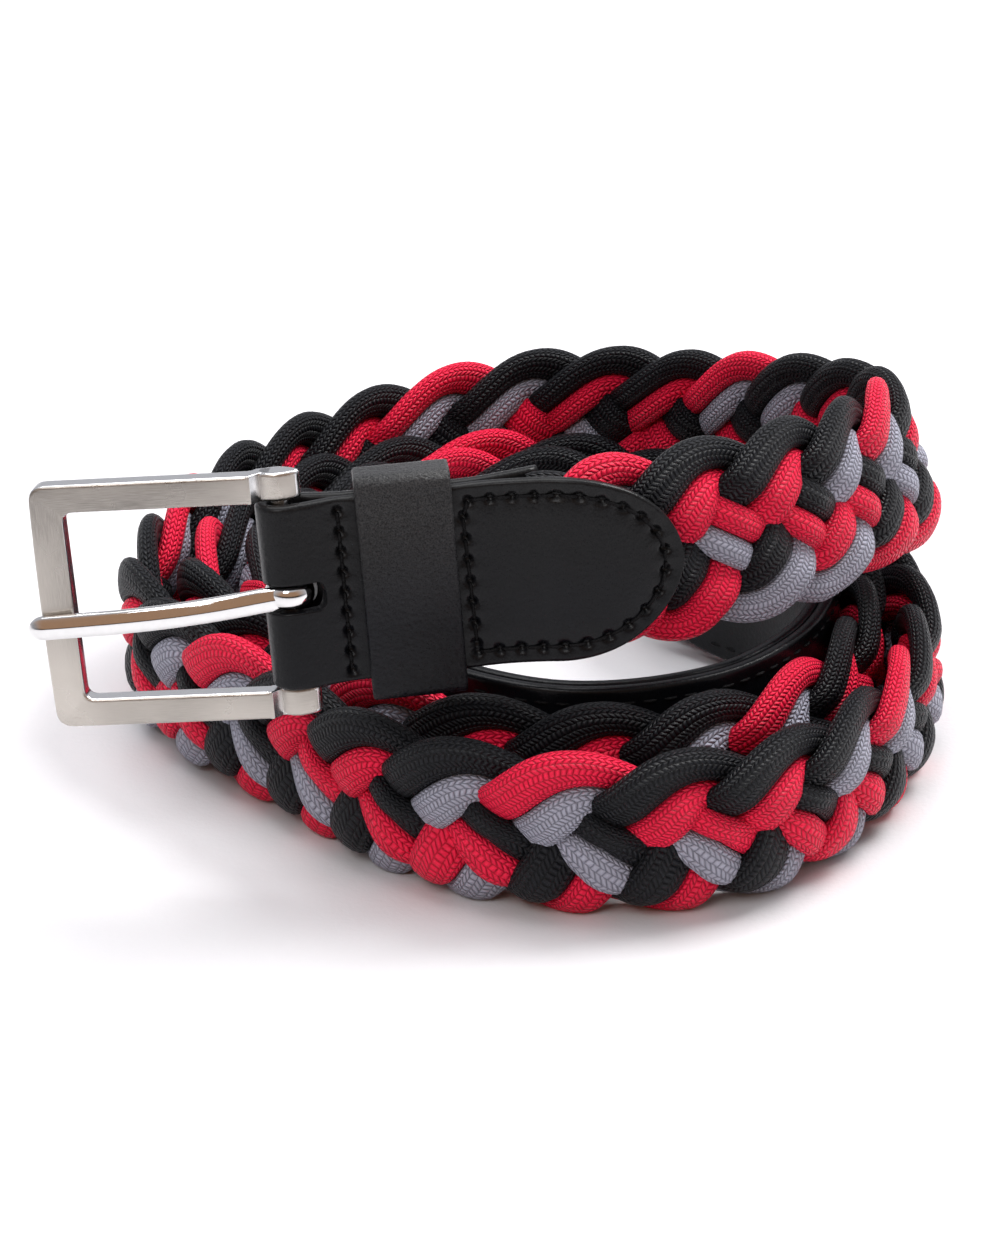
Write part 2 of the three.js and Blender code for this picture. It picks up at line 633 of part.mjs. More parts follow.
// The buckle hangs on its bar and lies turned about it.
function buckle() {
  const group = new THREE.Group();
  const turned = new THREE.Matrix4().makeRotationY(THREE.MathUtils.degToRad(FRAME_SWING));
  basisAt(frameAt(0)).multiply(turned).decompose(group.position, group.quaternion, group.scale);
  group.add(namedMesh('buckle_frame', buckleFrame(), brushedMaterial));
  group.add(namedMesh('buckle_tongue', buckleTongue(), chromeMaterial));
  return group;
}

function keeperMesh() {
  const mesh = namedMesh('keeper', keeper(), keeperMaterial);
  basisAt(frameAt(KEEPER_START)).decompose(mesh.position, mesh.quaternion, mesh.scale);
  return mesh;
}

const belt = new THREE.Group();
belt.add(buckle());
belt.add(namedMesh('chape', chape(), leatherMaterial));
belt.add(keeperMesh());
belt.add(namedMesh('braid', braid(), cordMaterial));
belt.add(namedMesh('billet', billet(), leatherMaterial));

// The origin is below the middle of the whole belt, on the surface that it lies on.
belt.updateMatrixWorld(true);
const bounds = new THREE.Box3().setFromObject(belt, true);
belt.position.set(
  -(bounds.min.x + bounds.max.x) / 2,
  -(bounds.min.y + bounds.max.y) / 2,
  -bounds.min.z,
);

export default belt;
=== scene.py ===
import math

import bmesh
import bpy
import numpy as np
from mathutils import Matrix, Vector


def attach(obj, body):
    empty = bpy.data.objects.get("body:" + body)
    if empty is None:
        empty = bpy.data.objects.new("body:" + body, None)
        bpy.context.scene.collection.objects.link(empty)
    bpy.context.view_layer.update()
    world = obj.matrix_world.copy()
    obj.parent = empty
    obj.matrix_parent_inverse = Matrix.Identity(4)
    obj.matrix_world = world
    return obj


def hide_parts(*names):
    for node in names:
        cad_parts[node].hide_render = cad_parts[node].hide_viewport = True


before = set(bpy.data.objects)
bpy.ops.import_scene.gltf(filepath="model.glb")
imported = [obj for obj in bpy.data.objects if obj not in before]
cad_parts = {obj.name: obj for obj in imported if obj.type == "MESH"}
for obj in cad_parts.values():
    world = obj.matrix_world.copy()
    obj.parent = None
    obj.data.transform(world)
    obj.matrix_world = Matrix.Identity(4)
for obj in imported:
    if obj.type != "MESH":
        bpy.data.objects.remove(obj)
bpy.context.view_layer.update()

MM = 0.001

# Belt, with the sizes of the solids
BRAID_WIDTH = 35.5
BRAID_THICKNESS = 8.8
STRAP_WIDTH = 33
LEATHER = 2.2
FIT_GAP = 0.3
COIL_REACH = 80
TURN_GAP = 0.8
STRAIGHT = 48.5
STRAIGHT_HEADING = 5
STRAIGHT_RISE = 5.6
BAR_LIFT = 0.6
COIL_MIDDLE = (8.118, 0.703, 0.186)  # where the coil's middle stands in the part's frame

# Leather; the slot and the keeper's place differ a little from the solids
FRONT_COVER = 65.5
FRONT_POINT = 21
BACK_COVER = 44
COVERS_PART = 32
COVERS_OPEN = 56
SLOT_LENGTH = 6.2  # from the bar to the slot's end in the front cover
SLOT_BACK = 4.2  # and in the back cover
SLOT_WIDTH = 5.0
SLOT_END = 1.4  # how far its flattened round end reaches
KEEPER_START = 14
KEEPER_LENGTH = 16.3
KEEPER_LEATHER = 2.0
KEEPER_SLACK = 2.6
KEEPER_CORNER = 2.4
KEEPER_SLIP = 1.6  # how far the loop has slid towards the buckle
BILLET_LENGTH = 205
BILLET_POINT = 22
SOCKET = 26
SOCKET_TAPER = 16
SOCKET_SQUEEZE = 24
HOLE_COUNT = 5
HOLE_SPACING = 25
HOLE_DIAMETER = 4.2
FIRST_HOLE = 62
FACE_POINTS = 72  # across a strip's outer face, fine enough for the stitch holes

# Buckle; its arm ends, eye and tongue tip are finer than in the solids
BAR_RADIUS = 1.9
FRAME_REACH = 42.3
FRAME_INSIDE = 33.7
ARM_WIDTH = 5
FRONT_BAR_WIDTH = 5.5
FRAME_THICKNESS = 3.6
FRAME_RISE = 1.4
FRAME_CORNER = 3.0
FRAME_WINDOW_CORNER = 1.2
FRONT_BOW = 0.5
ARM_STEP = 4.4  # from the bar to where an arm's face steps down
CURL_LENGTH = 3.7
CURL_HEIGHT = 2.3
CURL_POINT = 0.3  # how much thinner the curl gets towards its end
FRAME_SWING = -10
TONGUE_WIDTH = 4.2
TONGUE_REACH = 44.8
TONGUE_DROOP = 3.2
TONGUE_EYE = 2.1
TONGUE_TIP = 2.6

BAR_SEAT = BAR_RADIUS + FIT_GAP
FOLD_RADIUS = BAR_SEAT + LEATHER / 2
TURN_STEP = BRAID_THICKNESS + TURN_GAP
CLOSED_OFFSET = LEATHER / 2 + FIT_GAP / 2
OPEN_OFFSET = BRAID_THICKNESS / 2 + FIT_GAP + LEATHER / 2
SOCKET_OFFSET = BRAID_THICKNESS / 2 - LEATHER / 2

# Cords
LANE = 7.1  # between the plait's four lanes
CORD_WIDTH = 6.1
CORD_THICKNESS = 4.2
RISING_WIDTH = 0.18  # how much wider a cord lies where it goes up the belt
CROSSING_RISE = 2.15  # how far a strand's middle goes out where it crosses over another
SKEW = 0.33  # how far the plait is pulled along for each millimetre across
CURL_FROM = 7.5  # below this a settled turn's bottom edge curls inward
CURL_RADIUS = 9
SETTLED_TOP = 0.2  # how much of its upper half's width a settled turn loses
SETTLED_MIDDLE = 2.5  # how far down its middle goes
SETTLED_LOWER = 12  # how much its lower crossings crowd to the bottom edge
RINGS_PER_PITCH = 20
RING_SIDES = 16
CORD_START = 41
CORD_END_IN_SOCKET = 14
SHEATH_COLUMNS = 20  # columns of slanted yarn round a cord
SHEATH_DASH = 0.95  # between two yarns of a column, along the cord
SHEATH_SLANT = 0.55  # how far a yarn leans from one side of its column to the other, in dashes

# Finish
PAINTED_SHEEN_HEIGHTS = (0.05, 0.082)  # metres up, between which a painted sheen makes the leather lighter towards its top
ALONG_BRUSHING = 0.12  # how far the brushed lines are drawn out
ACROSS_BRUSHING = 6

# Stitches
STITCH = 3.8
STITCH_INSET = 2.9
THREAD = 0.62
CROSS_STITCHES = 9.3
HOLE_DEPTH = 1.0
HOLE_REACH = 0.78
GROOVE_DEPTH = 0.25

# Camera
CAMERA_ELEVATION = 24.75
CAMERA_DISTANCE = 660
CAMERA_LENS = 100.74
CAMERA_TARGET = (-10.4, -3.4, 22.1)  # from the coil's middle

# turn, reach, layer, lift, lean: as in the solids
COIL_ROWS = [
    (2, 0.713, 0, 1.165, -5),
    (20, 0.691, 0, 1.19, -4),
    (40, 0.691, 0, 1.19, -4),
    (60, 0.713, 0, 1.15, -6),
    (80, 0.769, 0, 1.09, -12),
    (93, 0.812, 0, 1.04, -21),
    (105, 0.825, 0, 0.99, -26),
    (118, 0.815, 0, 0.88, -24),
    (130, 0.81, 0, 0.75, -19),
    (143, 0.83, 0, 0.61, -14),
    (156, 0.86, 0, 0.505, -9),
    (171, 0.905, 0, 0.42, -4),
    (185, 0.948, 0, 0.33, -1),
    (200, 0.965, 0, 0.23, 0),
    (217, 0.98, 0, 0.12, 1),
    (235, 0.985, 0, 0.06, 1),
    (255, 0.985, 0, 0.02, 2),
    (270, 0.975, 0, 0, 3),
    (285, 0.888, 0, 0, 3),
    (300, 0.812, 0, 0, 3),
    (315, 0.802, 0, 0, 3),
    (330, 0.843, 0, 0, 3),
    (345, 0.9, 0, 0, 3),
    (360, 0.947, 0, 0, 3),
    (373, 0.973, 0, 0, 3),
    (386, 0.98, 0, 0, 3),
    (400, 0.943, 0, 0, 3),
    (415, 0.902, 0, 0, 2),
    (430, 0.873, 0, 0, -3),
    (445, 0.862, 0, 0, -6),
    (458, 0.838, 0, 0, -5),
    (472, 0.88, 0.75, 0, -2),
    (490, 0.858, 1, 0, 0),
    (515, 0.862, 1, 0, 0),
    (540, 0.922, 1, 0, 0),
    (565, 0.962, 1, 0, 0),
    (590, 0.983, 1, 0, 1),
    (613, 0.975, 1, 0, 1),
    (630, 0.955, 1, 0, 2),
    (645, 0.885, 1, 0, 2),
    (660, 0.815, 1, 0, 2),
    (675, 0.802, 1, 0, 2),
    (690, 0.845, 1, 0, 1),
    (705, 0.88, 1, 0, 1),
    (720, 0.912, 1, 0, 0),
    (735, 0.926, 1, 0, 0),
    (750, 0.926, 1, 0, 0),
    (765, 0.9, 1, 0, 0),
    (785, 0.864, 1, 0, 0),
    (805, 0.848, 1, 0, 0),
    (818, 0.845, 1.2, 0, 0),
    (832, 0.86, 1.6, 0, 0),
    (850, 0.855, 2, 0, 0),
    (875, 0.858, 2, 0, 0),
    (900, 0.92, 2, 0, 0),
    (925, 0.96, 2, 0, 0),
    (950, 0.98, 2, 0, 0),
    (973, 0.97, 2, 0, 0),
    (990, 0.945, 2, 0, 0),
    (1005, 0.87, 2, 0, 0),
    (1020, 0.81, 2, 0, 0),
    (1035, 0.8, 2, 0, 0),
    (1050, 0.85, 2, 0.03, 0),
    (1065, 0.9, 2, 0.03, 0),
    (1080, 0.944, 2, 0.03, 0),
    (1095, 0.955, 2, 0.03, 0),
    (1112, 0.95, 2, 0.03, 0),
    (1130, 0.92, 2, 0.03, 0),
    (1145, 0.895, 2, 0.03, 0),
    (1165, 0.88, 2, 0.03, 0),
    (1180, 0.84, 2, 0.03, 0),
    (1195, 0.8, 2, 0.03, 0),
    (1212, 0.76, 2, 0.03, 0),
    (1235, 0.752, 2, 0.03, 0),
]

# reach, top, under: the tongue's side view
TONGUE_ROWS = [
    (0.02, 1.08, 0.3),
    (0.1, 1.38, 0.62),
    (0.25, 1.9, 1.02),
    (0.45, 2.2, 1.42),
    (0.65, 2.14, 1.42),
    (0.85, 1.9, 1.1),
    (0.97, 1.72, 0.98),
    (1.0, 1.56, 1.08),
]

# share of the half width, share of the height: the tongue's section
TONGUE_SECTION = [
    (1.0, 0.4),
    (0.97, 0.58),
    (0.9, 0.7),
    (0.78, 0.757),
    (0.55, 0.83),
    (0.3, 0.91),
    (0.12, 0.966),
    (0.0, 0.985),
    (-0.12, 0.982),
    (-0.3, 0.955),
    (-0.55, 0.912),
    (-0.78, 0.865),
    (-0.92, 0.79),
    (-0.99, 0.62),
    (-1.0, 0.45),
    (-0.95, 0.2),
    (-0.7, 0.04),
    (-0.3, 0.0),
    (0.3, 0.0),
    (0.7, 0.04),
    (0.95, 0.2),
]

# distance from the bar, arches of the plait up to it: the plait was pulled tighter in some stretches
ARCH_ROWS = [
    (39, -2.13),
    (77, 0),
    (94.9, 1),
    (210, 7.53),
    (300, 12.57),
    (432.5, 20),
    (510, 24),
    (699, 34.02),
    (902, 44.43),
    (1210, 60.2),
]

# distance from the bar, how far the braid has settled there and how far its bottom edge curls in
SETTLE_ROWS = [
    (100, 0, 0),
    (125, 0, 1),
    (200, 0, 1),
    (240, 0, 0),
    (330, 0, 0),
    (420, 1, 1),
    (450, 1.15, 1),
    (475, 1, 1),
    (600, 0.8, 1),
    (700, 0.3, 0.6),
    (940, 0.2, 0.6),
    (980, 0.1, 0.6),
    (1210, 0.4, 0.6),
]

# strand: colour of its upper cord, colour of its lower cord, how many arches it follows the first strand by
STRANDS = [
    ("first", "red", "grey", 0),
    ("second", "black", "red", 1),
    ("third", "black", "red", 2),
    ("fourth", "black", "grey", 3),
]


# Path

def smoothstep(x, low, high):
    share = np.clip((np.asarray(x, float) - low) / (high - low), 0, 1)
    return share * share * (3 - 2 * share)


def mix(low, high, share):
    return low + (high - low) * share


def unit(vectors):
    return vectors / np.linalg.norm(vectors, axis=-1, keepdims=True)


def coil_point(turn, reach, layer, lift, lean):
    angle = math.radians(turn)
    radius = COIL_REACH * reach - TURN_STEP * layer
    height = BRAID_WIDTH * (lift + math.cos(math.radians(lean)) / 2)
    return np.array([radius * math.sin(angle), -radius * math.cos(angle), height])


def path_knots():
    coil = [coil_point(*row) for row in COIL_ROWS]
    heading = math.radians(STRAIGHT_HEADING)
    rise = math.radians(STRAIGHT_RISE)
    straight = np.array([
        math.cos(rise) * math.cos(heading),
        math.cos(rise) * math.sin(heading),
        math.sin(rise),
    ])
    lead = [coil[0] - straight * STRAIGHT * share for share in (1, 0.5, 0.12)]
    lead[0][2] += BAR_LIFT
    leans = [COIL_ROWS[0][4]] * len(lead) + [row[4] for row in COIL_ROWS]
    return np.array(lead + coil), np.array(leans, float)


KNOTS, LEANS = path_knots()


def curve_at(t):
    """The centripetal curve through the knots, t from 0 to 1."""
    t = np.clip(t, 0, 1)
    last = len(KNOTS) - 1
    first = np.minimum((t * last).astype(int), last - 1)
    weight = (t * last - first)[:, None]
    before = 2 * KNOTS[0] - KNOTS[1]
    after = 2 * KNOTS[-1] - KNOTS[-2]
    padded = np.vstack([before, KNOTS, after])
    p0, p1, p2, p3 = (padded[first + step] for step in range(4))
    gaps = [np.sqrt(np.linalg.norm(b - a, axis=1))[:, None] for a, b in ((p0, p1), (p1, p2), (p2, p3))]
    g0, g1, g2 = gaps
    start = g1 * ((p1 - p0) / g0 - (p2 - p0) / (g0 + g1) + (p2 - p1) / g1)
    end = g1 * ((p2 - p1) / g1 - (p3 - p1) / (g1 + g2) + (p3 - p2) / g2)
    square = -3 * p1 + 3 * p2 - 2 * start - end
    cube = 2 * p1 - 2 * p2 + start + end
    return p1 + start * weight + square * weight**2 + cube * weight**3


CURVE_T = np.linspace(0, 1, 4001)
CURVE_S = np.concatenate([[0], np.cumsum(np.linalg.norm(np.diff(curve_at(CURVE_T), axis=0), axis=1))])
PATH_LENGTH = CURVE_S[-1]
BILLET_START = PATH_LENGTH - BILLET_LENGTH


def belt_axes(s):
    """Place, along, up and out of the belt at each distance s."""
    s = np.atleast_1d(np.asarray(s, float))
    inside = np.clip(s, 0, PATH_LENGTH)
    t = np.interp(inside, CURVE_S, CURVE_T)
    step = 0.0001
    along = unit(curve_at(t + step) - curve_at(t - step))
    place = curve_at(t) + along * (s - inside)[:, None]
    lean = np.radians(np.interp(t * (len(LEANS) - 1), np.arange(len(LEANS)), LEANS))[:, None]
    level = unit(np.stack([along[:, 1], -along[:, 0], np.zeros(len(s))], axis=1))
    upright = np.cross(level, along)
    up = upright * np.cos(lean) + level * np.sin(lean)
    out = level * np.cos(lean) - upright * np.sin(lean)
    return place, along, up, out


def on_belt(s, across, out):
    """Points at distance s, across the width and out through the thickness."""
    s, across, out = np.broadcast_arrays(*(np.asarray(v, float) for v in (s, across, out)))
    place, _, up, away = belt_axes(s.ravel())
    points = place + up * across.ravel()[:, None] + away * out.ravel()[:, None]
    return points.reshape(s.shape + (3,))


def matrix_at(s, across=0.0, out=0.0):
    """The belt's own axes at s, in metres, as a matrix: x along, y up the width, z out."""
    place, along, up, away = (v[0] for v in belt_axes(s))
    spot = (place + up * across + away * out + np.array(COIL_MIDDLE)) * MM
    matrix = Matrix((along, up, away)).transposed().to_4x4()
    matrix.translation = Vector(spot)
    return matrix


def arch_at(s):
    places, arches = np.array(ARCH_ROWS).T
    return np.interp(s, places, arches)


def place_of_arch(arch):
    places, arches = np.array(ARCH_ROWS).T
    even = np.interp(arch, arches, places)
    before = np.interp(np.asarray(arch) - 1.5, arches, places)
    after = np.interp(np.asarray(arch) + 1.5, arches, places)
    return (2 * even + before + after) / 4


# Meshes

def to_frame(points):
    """Millimetres from the coil's middle to metres in the part's frame."""
    return (np.asarray(points, float).reshape(-1, 3) + np.array(COIL_MIDDLE)) * MM


def make_piece(name, verts, faces, finish, body, smooth=True, uv=None):
    mesh = bpy.data.meshes.new(name)
    mesh.from_pydata([tuple(v) for v in verts], [], faces)
    mesh.update()
    if uv is not None:
        layer = mesh.uv_layers.new(name="UVMap")
        layer.data.foreach_set("uv", np.asarray(uv, np.float32).ravel())
    piece = bpy.data.objects.new(name, mesh)
    bpy.context.scene.collection.objects.link(piece)
    mesh.materials.append(finish)
    mesh.shade_smooth() if smooth else mesh.shade_flat()
    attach(piece, body)
    return piece


def face_outward(piece):
    """Turns all faces outward."""
    editing = bmesh.new()
    editing.from_mesh(piece.data)
    bmesh.ops.recalc_face_normals(editing, faces=editing.faces)
    editing.to_mesh(piece.data)
    editing.free()


def tube_faces(rings, sides, closed_ends=True):
    faces = []
    for ring in range(rings - 1):
        for side in range(sides):
            a = ring * sides + side
            b = ring * sides + (side + 1) % sides
            faces.append((a, b, b + sides, a + sides))
    if closed_ends:
        faces.append(tuple(reversed(range(sides))))
        faces.append(tuple(range((rings - 1) * sides, rings * sides)))
    return faces


def tube_uv(along, sides):
    """Along in millimetres and a share round the tube, for each corner of tube_faces."""
    uv = []
    for ring in range(len(along) - 1):
        for side in range(sides):
            low = side / sides
            high = (side + 1) / sides
            uv += [(along[ring], low), (along[ring], high), (along[ring + 1], high), (along[ring + 1], low)]
    uv += [(0, 0)] * (2 * sides)
    return uv


# Materials

class Shader:
    """A material whose nodes are added one at a time."""

    def __init__(self, name):
        self.material = bpy.data.materials.new(name)
        self.material.use_nodes = True
        self.tree = self.material.node_tree
        self.tree.nodes.clear()
        self.surface = self.tree.nodes.new("ShaderNodeBsdfPrincipled")
        output = self.tree.nodes.new("ShaderNodeOutputMaterial")
        self.tree.links.new(self.surface.outputs["BSDF"], output.inputs["Surface"])

    def node(self, kind, inputs=None, **settings):
        node = self.tree.nodes.new(kind)
        for key, value in settings.items():
            setattr(node, key, value)
        for key, value in (inputs or {}).items():
            self.put(node.inputs[key], value)
        return node

    def put(self, socket, value):
        if isinstance(value, bpy.types.NodeSocket):
            self.tree.links.new(value, socket)
        else:
            socket.default_value = value

    def math(self, operation, a, b=0.0, clamp=False):
        node = self.node("ShaderNodeMath", operation=operation, use_clamp=clamp)
        self.put(node.inputs[0], a)
        self.put(node.inputs[1], b)
        return node.outputs[0]

    def ramp(self, value, low, high, to_low=0.0, to_high=1.0):
        node = self.node("ShaderNodeMapRange", {"Value": value, "From Min": low, "From Max": high})
        self.put(node.inputs["To Min"], to_low)
        self.put(node.inputs["To Max"], to_high)
        return node.outputs["Result"]

    def blend(self, share, first, second):
        node = self.node("ShaderNodeMix", data_type="RGBA")
        self.put(node.inputs["Factor"], share)
        self.put(node.inputs["A"], first)
        self.put(node.inputs["B"], second)
        return node.outputs["Result"]

    def noise(self, scale, detail=2.0, roughness=0.5, vector=None):
        node = self.node("ShaderNodeTexNoise", {"Scale": scale, "Detail": detail, "Roughness": roughness})
        if vector is not None:
            self.put(node.inputs["Vector"], vector)
        return node.outputs["Fac"]

    def position(self, scale=(1, 1, 1), rotation=(0, 0, 0)):
        place = self.node("ShaderNodeTexCoord").outputs["Object"]
        node = self.node("ShaderNodeMapping", {"Vector": place, "Scale": scale, "Rotation": rotation})
        return node.outputs["Vector"]

    def bump(self, height, distance, strength=1.0, normal=None):
        node = self.node("ShaderNodeBump", {"Height": height, "Distance": distance, "Strength": strength})
        if normal is not None:
            self.put(node.inputs["Normal"], normal)
        return node.outputs["Normal"]

    def finish(self, **values):
        for key, value in values.items():
            self.put(self.surface.inputs[key.replace("_", " ")], value)
        return self.material


def cord_material(name, colour, shade, gloss):
    """Nylon cord: columns of yarn that slant one way and the other, a herringbone round the cord, the grooves
    between the yarns darkened with painted shade.
    """
    shader = Shader(name)
    uv = shader.node("ShaderNodeUVMap", uv_map="UVMap").outputs["UV"]
    split = shader.node("ShaderNodeSeparateXYZ", {"Vector": uv})
    wobble = shader.noise(1400, 1.0, 0.5, shader.position())
    column = shader.math("MULTIPLY", split.outputs["Y"], SHEATH_COLUMNS)
    column = shader.math("ADD", column, shader.ramp(wobble, 0, 1, -0.12, 0.12))
    x = shader.math("FRACT", column)
    odd = shader.math("MODULO", shader.math("FLOOR", column), 2.0)
    slanted = shader.math("ABSOLUTE", shader.math("SUBTRACT", x, odd))
    dash = shader.math("DIVIDE", split.outputs["X"], SHEATH_DASH)
    dash = shader.math("ADD", dash, shader.math("MULTIPLY", slanted, SHEATH_SLANT))
    dash = shader.math("ADD", dash, shader.math("MULTIPLY", odd, 0.25))
    yarn = shader.math("ABSOLUTE", shader.math("SINE", shader.math("MULTIPLY", dash, math.pi)))
    yarn = shader.math("POWER", yarn, 0.7)
    ridge = shader.math("SINE", shader.math("MULTIPLY", x, math.pi))
    ridge = shader.math("POWER", shader.math("ABSOLUTE", ridge), 0.4)
    height = shader.math("MULTIPLY", yarn, ridge)
    strands = shader.noise(5200, 2.0, 0.6, shader.position())
    height = shader.math("ADD", height, shader.math("MULTIPLY", strands, 0.18))
    tone = shader.noise(220, 3.0, 0.5, shader.position())
    lit = shader.blend(shader.ramp(tone, 0.3, 0.7), [c * 0.86 for c in colour[:3]] + [1], colour)
    # painted shade: where the yarn is low, in the grooves between the yarns, the colour goes towards the dark
    # shade colour
    base = shader.blend(shader.ramp(height, 0.1, 0.75), shade, lit)
    normal = shader.bump(height, 0.00055, 1.0)
    return shader.finish(
        Base_Color=base,
        Roughness=shader.ramp(strands, 0.3, 0.7, 0.38, 0.55),
        Specular_IOR_Level=gloss,
        Normal=normal,
    )


def leather_material(name, grain_scale, grain_depth, roughness, tone, sheen_tone):
    """Black leather with fine grain, soft creases and a painted sheen, lighter towards its top in specks that
    follow the grain.
    """
    shader = Shader(name)
    place = shader.position()
    cells = shader.node("ShaderNodeTexVoronoi", {"Vector": place, "Scale": grain_scale}, feature="SMOOTH_F1")
    self_height = shader.math("SUBTRACT", 1.0, cells.outputs["Distance"])
    fine = shader.noise(grain_scale * 2.6, 3.0, 0.6, place)
    height = shader.math("ADD", shader.math("MULTIPLY", self_height, 0.7), shader.math("MULTIPLY", fine, 0.5))
    broad = shader.noise(60, 3.0, 0.5, place)
    normal = shader.bump(height, grain_depth, 0.7)
    normal = shader.bump(broad, 0.0006, 0.25, normal)
    deep = (tone * 0.5, tone * 0.55, tone * 0.75, 1)
    shade = shader.blend(shader.ramp(broad, 0.3, 0.7), deep, (tone * 0.9, tone, tone * 1.4, 1))
    upward = shader.node("ShaderNodeSeparateXYZ", {"Vector": place}).outputs["Z"]
    # painted sheen: the leather is made lighter towards its top, in specks that follow the grain
    painted_sheen = shader.math("MULTIPLY", shader.ramp(upward, *PAINTED_SHEEN_HEIGHTS), shader.ramp(fine, 0.42, 0.62, 0.25, 1))
    shade = shader.blend(painted_sheen, shade, (tone * sheen_tone, tone * sheen_tone, tone * sheen_tone, 1))
    return shader.finish(
        Base_Color=shade,
        Roughness=shader.ramp(fine, 0.3, 0.7, roughness - 0.05, roughness + 0.07),
        Specular_IOR_Level=0.18,
        Normal=normal,
    )


def brushed_material(name, colour, roughness):
    """Satin plate brushed along each side of the frame, the brushing mitred at its corners."""
    shader = Shader(name)
    uv = shader.node("ShaderNodeUVMap", uv_map="UVMap").outputs["UV"]
    split = shader.node("ShaderNodeSeparateXYZ", {"Vector": uv})
    x, y = split.outputs["X"], split.outputs["Y"]
    from_front = shader.math("ADD", x, FRAME_REACH)
    from_side = shader.math("SUBTRACT", FRAME_INSIDE / 2 + ARM_WIDTH, shader.math("ABSOLUTE", y))
    front_bar = shader.math("LESS_THAN", from_front, from_side)
    arms = shader.node("ShaderNodeCombineXYZ", {
        "X": shader.math("MULTIPLY", x, ALONG_BRUSHING),
        "Y": shader.math("MULTIPLY", y, ACROSS_BRUSHING),
    })
    front = shader.node("ShaderNodeCombineXYZ", {
        "X": shader.math("MULTIPLY", x, ACROSS_BRUSHING),
        "Y": shader.math("MULTIPLY", y, ALONG_BRUSHING),
    })
    pick = shader.node("ShaderNodeMix", data_type="VECTOR")
    shader.put(pick.inputs["Factor"], front_bar)
    shader.put(pick.inputs[4], arms.outputs["Vector"])
    shader.put(pick.inputs[5], front.outputs["Vector"])
    lines = shader.noise(2.2, 4.0, 0.65, pick.outputs[1])
    clouds = shader.noise(120, 2.0, 0.5, shader.position())
    normal = shader.bump(lines, 0.00005, 0.5)
    dull = [c * 0.55 for c in colour[:3]] + [1]
    base = shader.blend(shader.ramp(lines, 0.4, 0.6), dull, colour)
    broad = shader.noise(38, 1.0, 0.5, shader.position())
    base = shader.blend(shader.ramp(broad, 0.35, 0.65), base, [c * 1.5 for c in colour[:3]] + [1])
    rough = shader.ramp(clouds, 0.3, 0.7, roughness - 0.04, roughness + 0.04)
    return shader.finish(Base_Color=base, Metallic=1.0, Roughness=rough, Normal=normal)


def plated_material(name, colour, roughness):
    """Bright plate with faint wear."""
    shader = Shader(name)
    wear = shader.noise(700, 3.0, 0.6, shader.position())
    rough = shader.ramp(wear, 0.35, 0.75, roughness, roughness + 0.06)
    base = shader.blend(shader.ramp(wear, 0.3, 0.8), colour, [c * 0.93 for c in colour[:3]] + [1])
    normal = shader.bump(wear, 0.000008, 0.3)
    return shader.finish(Base_Color=base, Metallic=1.0, Roughness=rough, Normal=normal)


def thread_material():
    shader = Shader("thread")
    twist = shader.noise(4200, 2.0, 0.5, shader.position())
    normal = shader.bump(twist, 0.0002, 0.8)
    shade = shader.blend(shader.ramp(twist, 0.35, 0.65), (0.003, 0.003, 0.0035, 1), (0.01, 0.01, 0.011, 1))
    return shader.finish(Base_Color=shade, Roughness=0.45, Specular_IOR_Level=0.08, Normal=normal)


def floor_material():
    shader = Shader("floor")
    fibre = shader.noise(900, 3.0, 0.6, shader.position())
    broad = shader.noise(6, 2.0, 0.5, shader.position())
    normal = shader.bump(fibre, 0.0003, 0.3)
    shade = shader.blend(shader.ramp(broad, 0.3, 0.7), (0.7, 0.7, 0.72, 1), (0.735, 0.735, 0.753, 1))
    return shader.finish(Base_Color=shade, Roughness=0.8, Specular_IOR_Level=0.2, Normal=normal)


# each cord: its colour, the painted shade colour of the grooves between its yarns, and its gloss
CORD_FINISH = {
    "black": cord_material("cord_black", (0.0062, 0.0072, 0.0105, 1), (0.0006, 0.0007, 0.0012, 1), 0.24),
    "red": cord_material("cord_red", (1.0, 0.014, 0.07, 1), (0.52, 0.003, 0.02, 1), 0.22),
    "grey": cord_material("cord_grey", (0.42, 0.425, 0.52, 1), (0.19, 0.193, 0.24, 1), 0.25),
}
# the last number: how many times lighter the painted sheen makes the top of each leather
SMOOTH_LEATHER = leather_material("leather", 1500, 0.00008, 0.3, 0.0045, 3.5)
KEEPER_GRAIN = leather_material("keeper_leather", 1500, 0.0004, 0.3, 0.007, 9)
BRUSHED = brushed_material("brushed_metal", (0.36, 0.335, 0.305, 1), 0.3)
POLISHED = plated_material("polished_edge", (0.8, 0.8, 0.81, 1), 0.18)
CHROME = plated_material("chrome", (0.78, 0.775, 0.77, 1), 0.06)
THREAD_FINISH = thread_material()


# Braid

def strand_course(step):
    """Across and out of a strand's middle at each step of the plait, and the squares of its steps."""
    angle = math.pi * (step + 0.5) / 4
    across = LANE * (1.577 * np.cos(angle) + 0.1125 * np.cos(3 * angle))
    beat = np.mod(step, 8)
    early = -np.cos(np.pi * (beat - 0.5))
    bottom = np.sin(np.pi * (beat - 3.5) / 2)
    late = np.cos(np.pi * (beat - 4.5))
    top = -np.sin(np.pi * (beat - 7.5) / 2)
    top_start = -np.sin(np.pi * (beat + 0.5) / 2)
    out = np.select([beat < 0.5, beat < 2.5, beat < 4.5, beat < 6.5], [top_start, early, bottom, late], top)
    return across, out


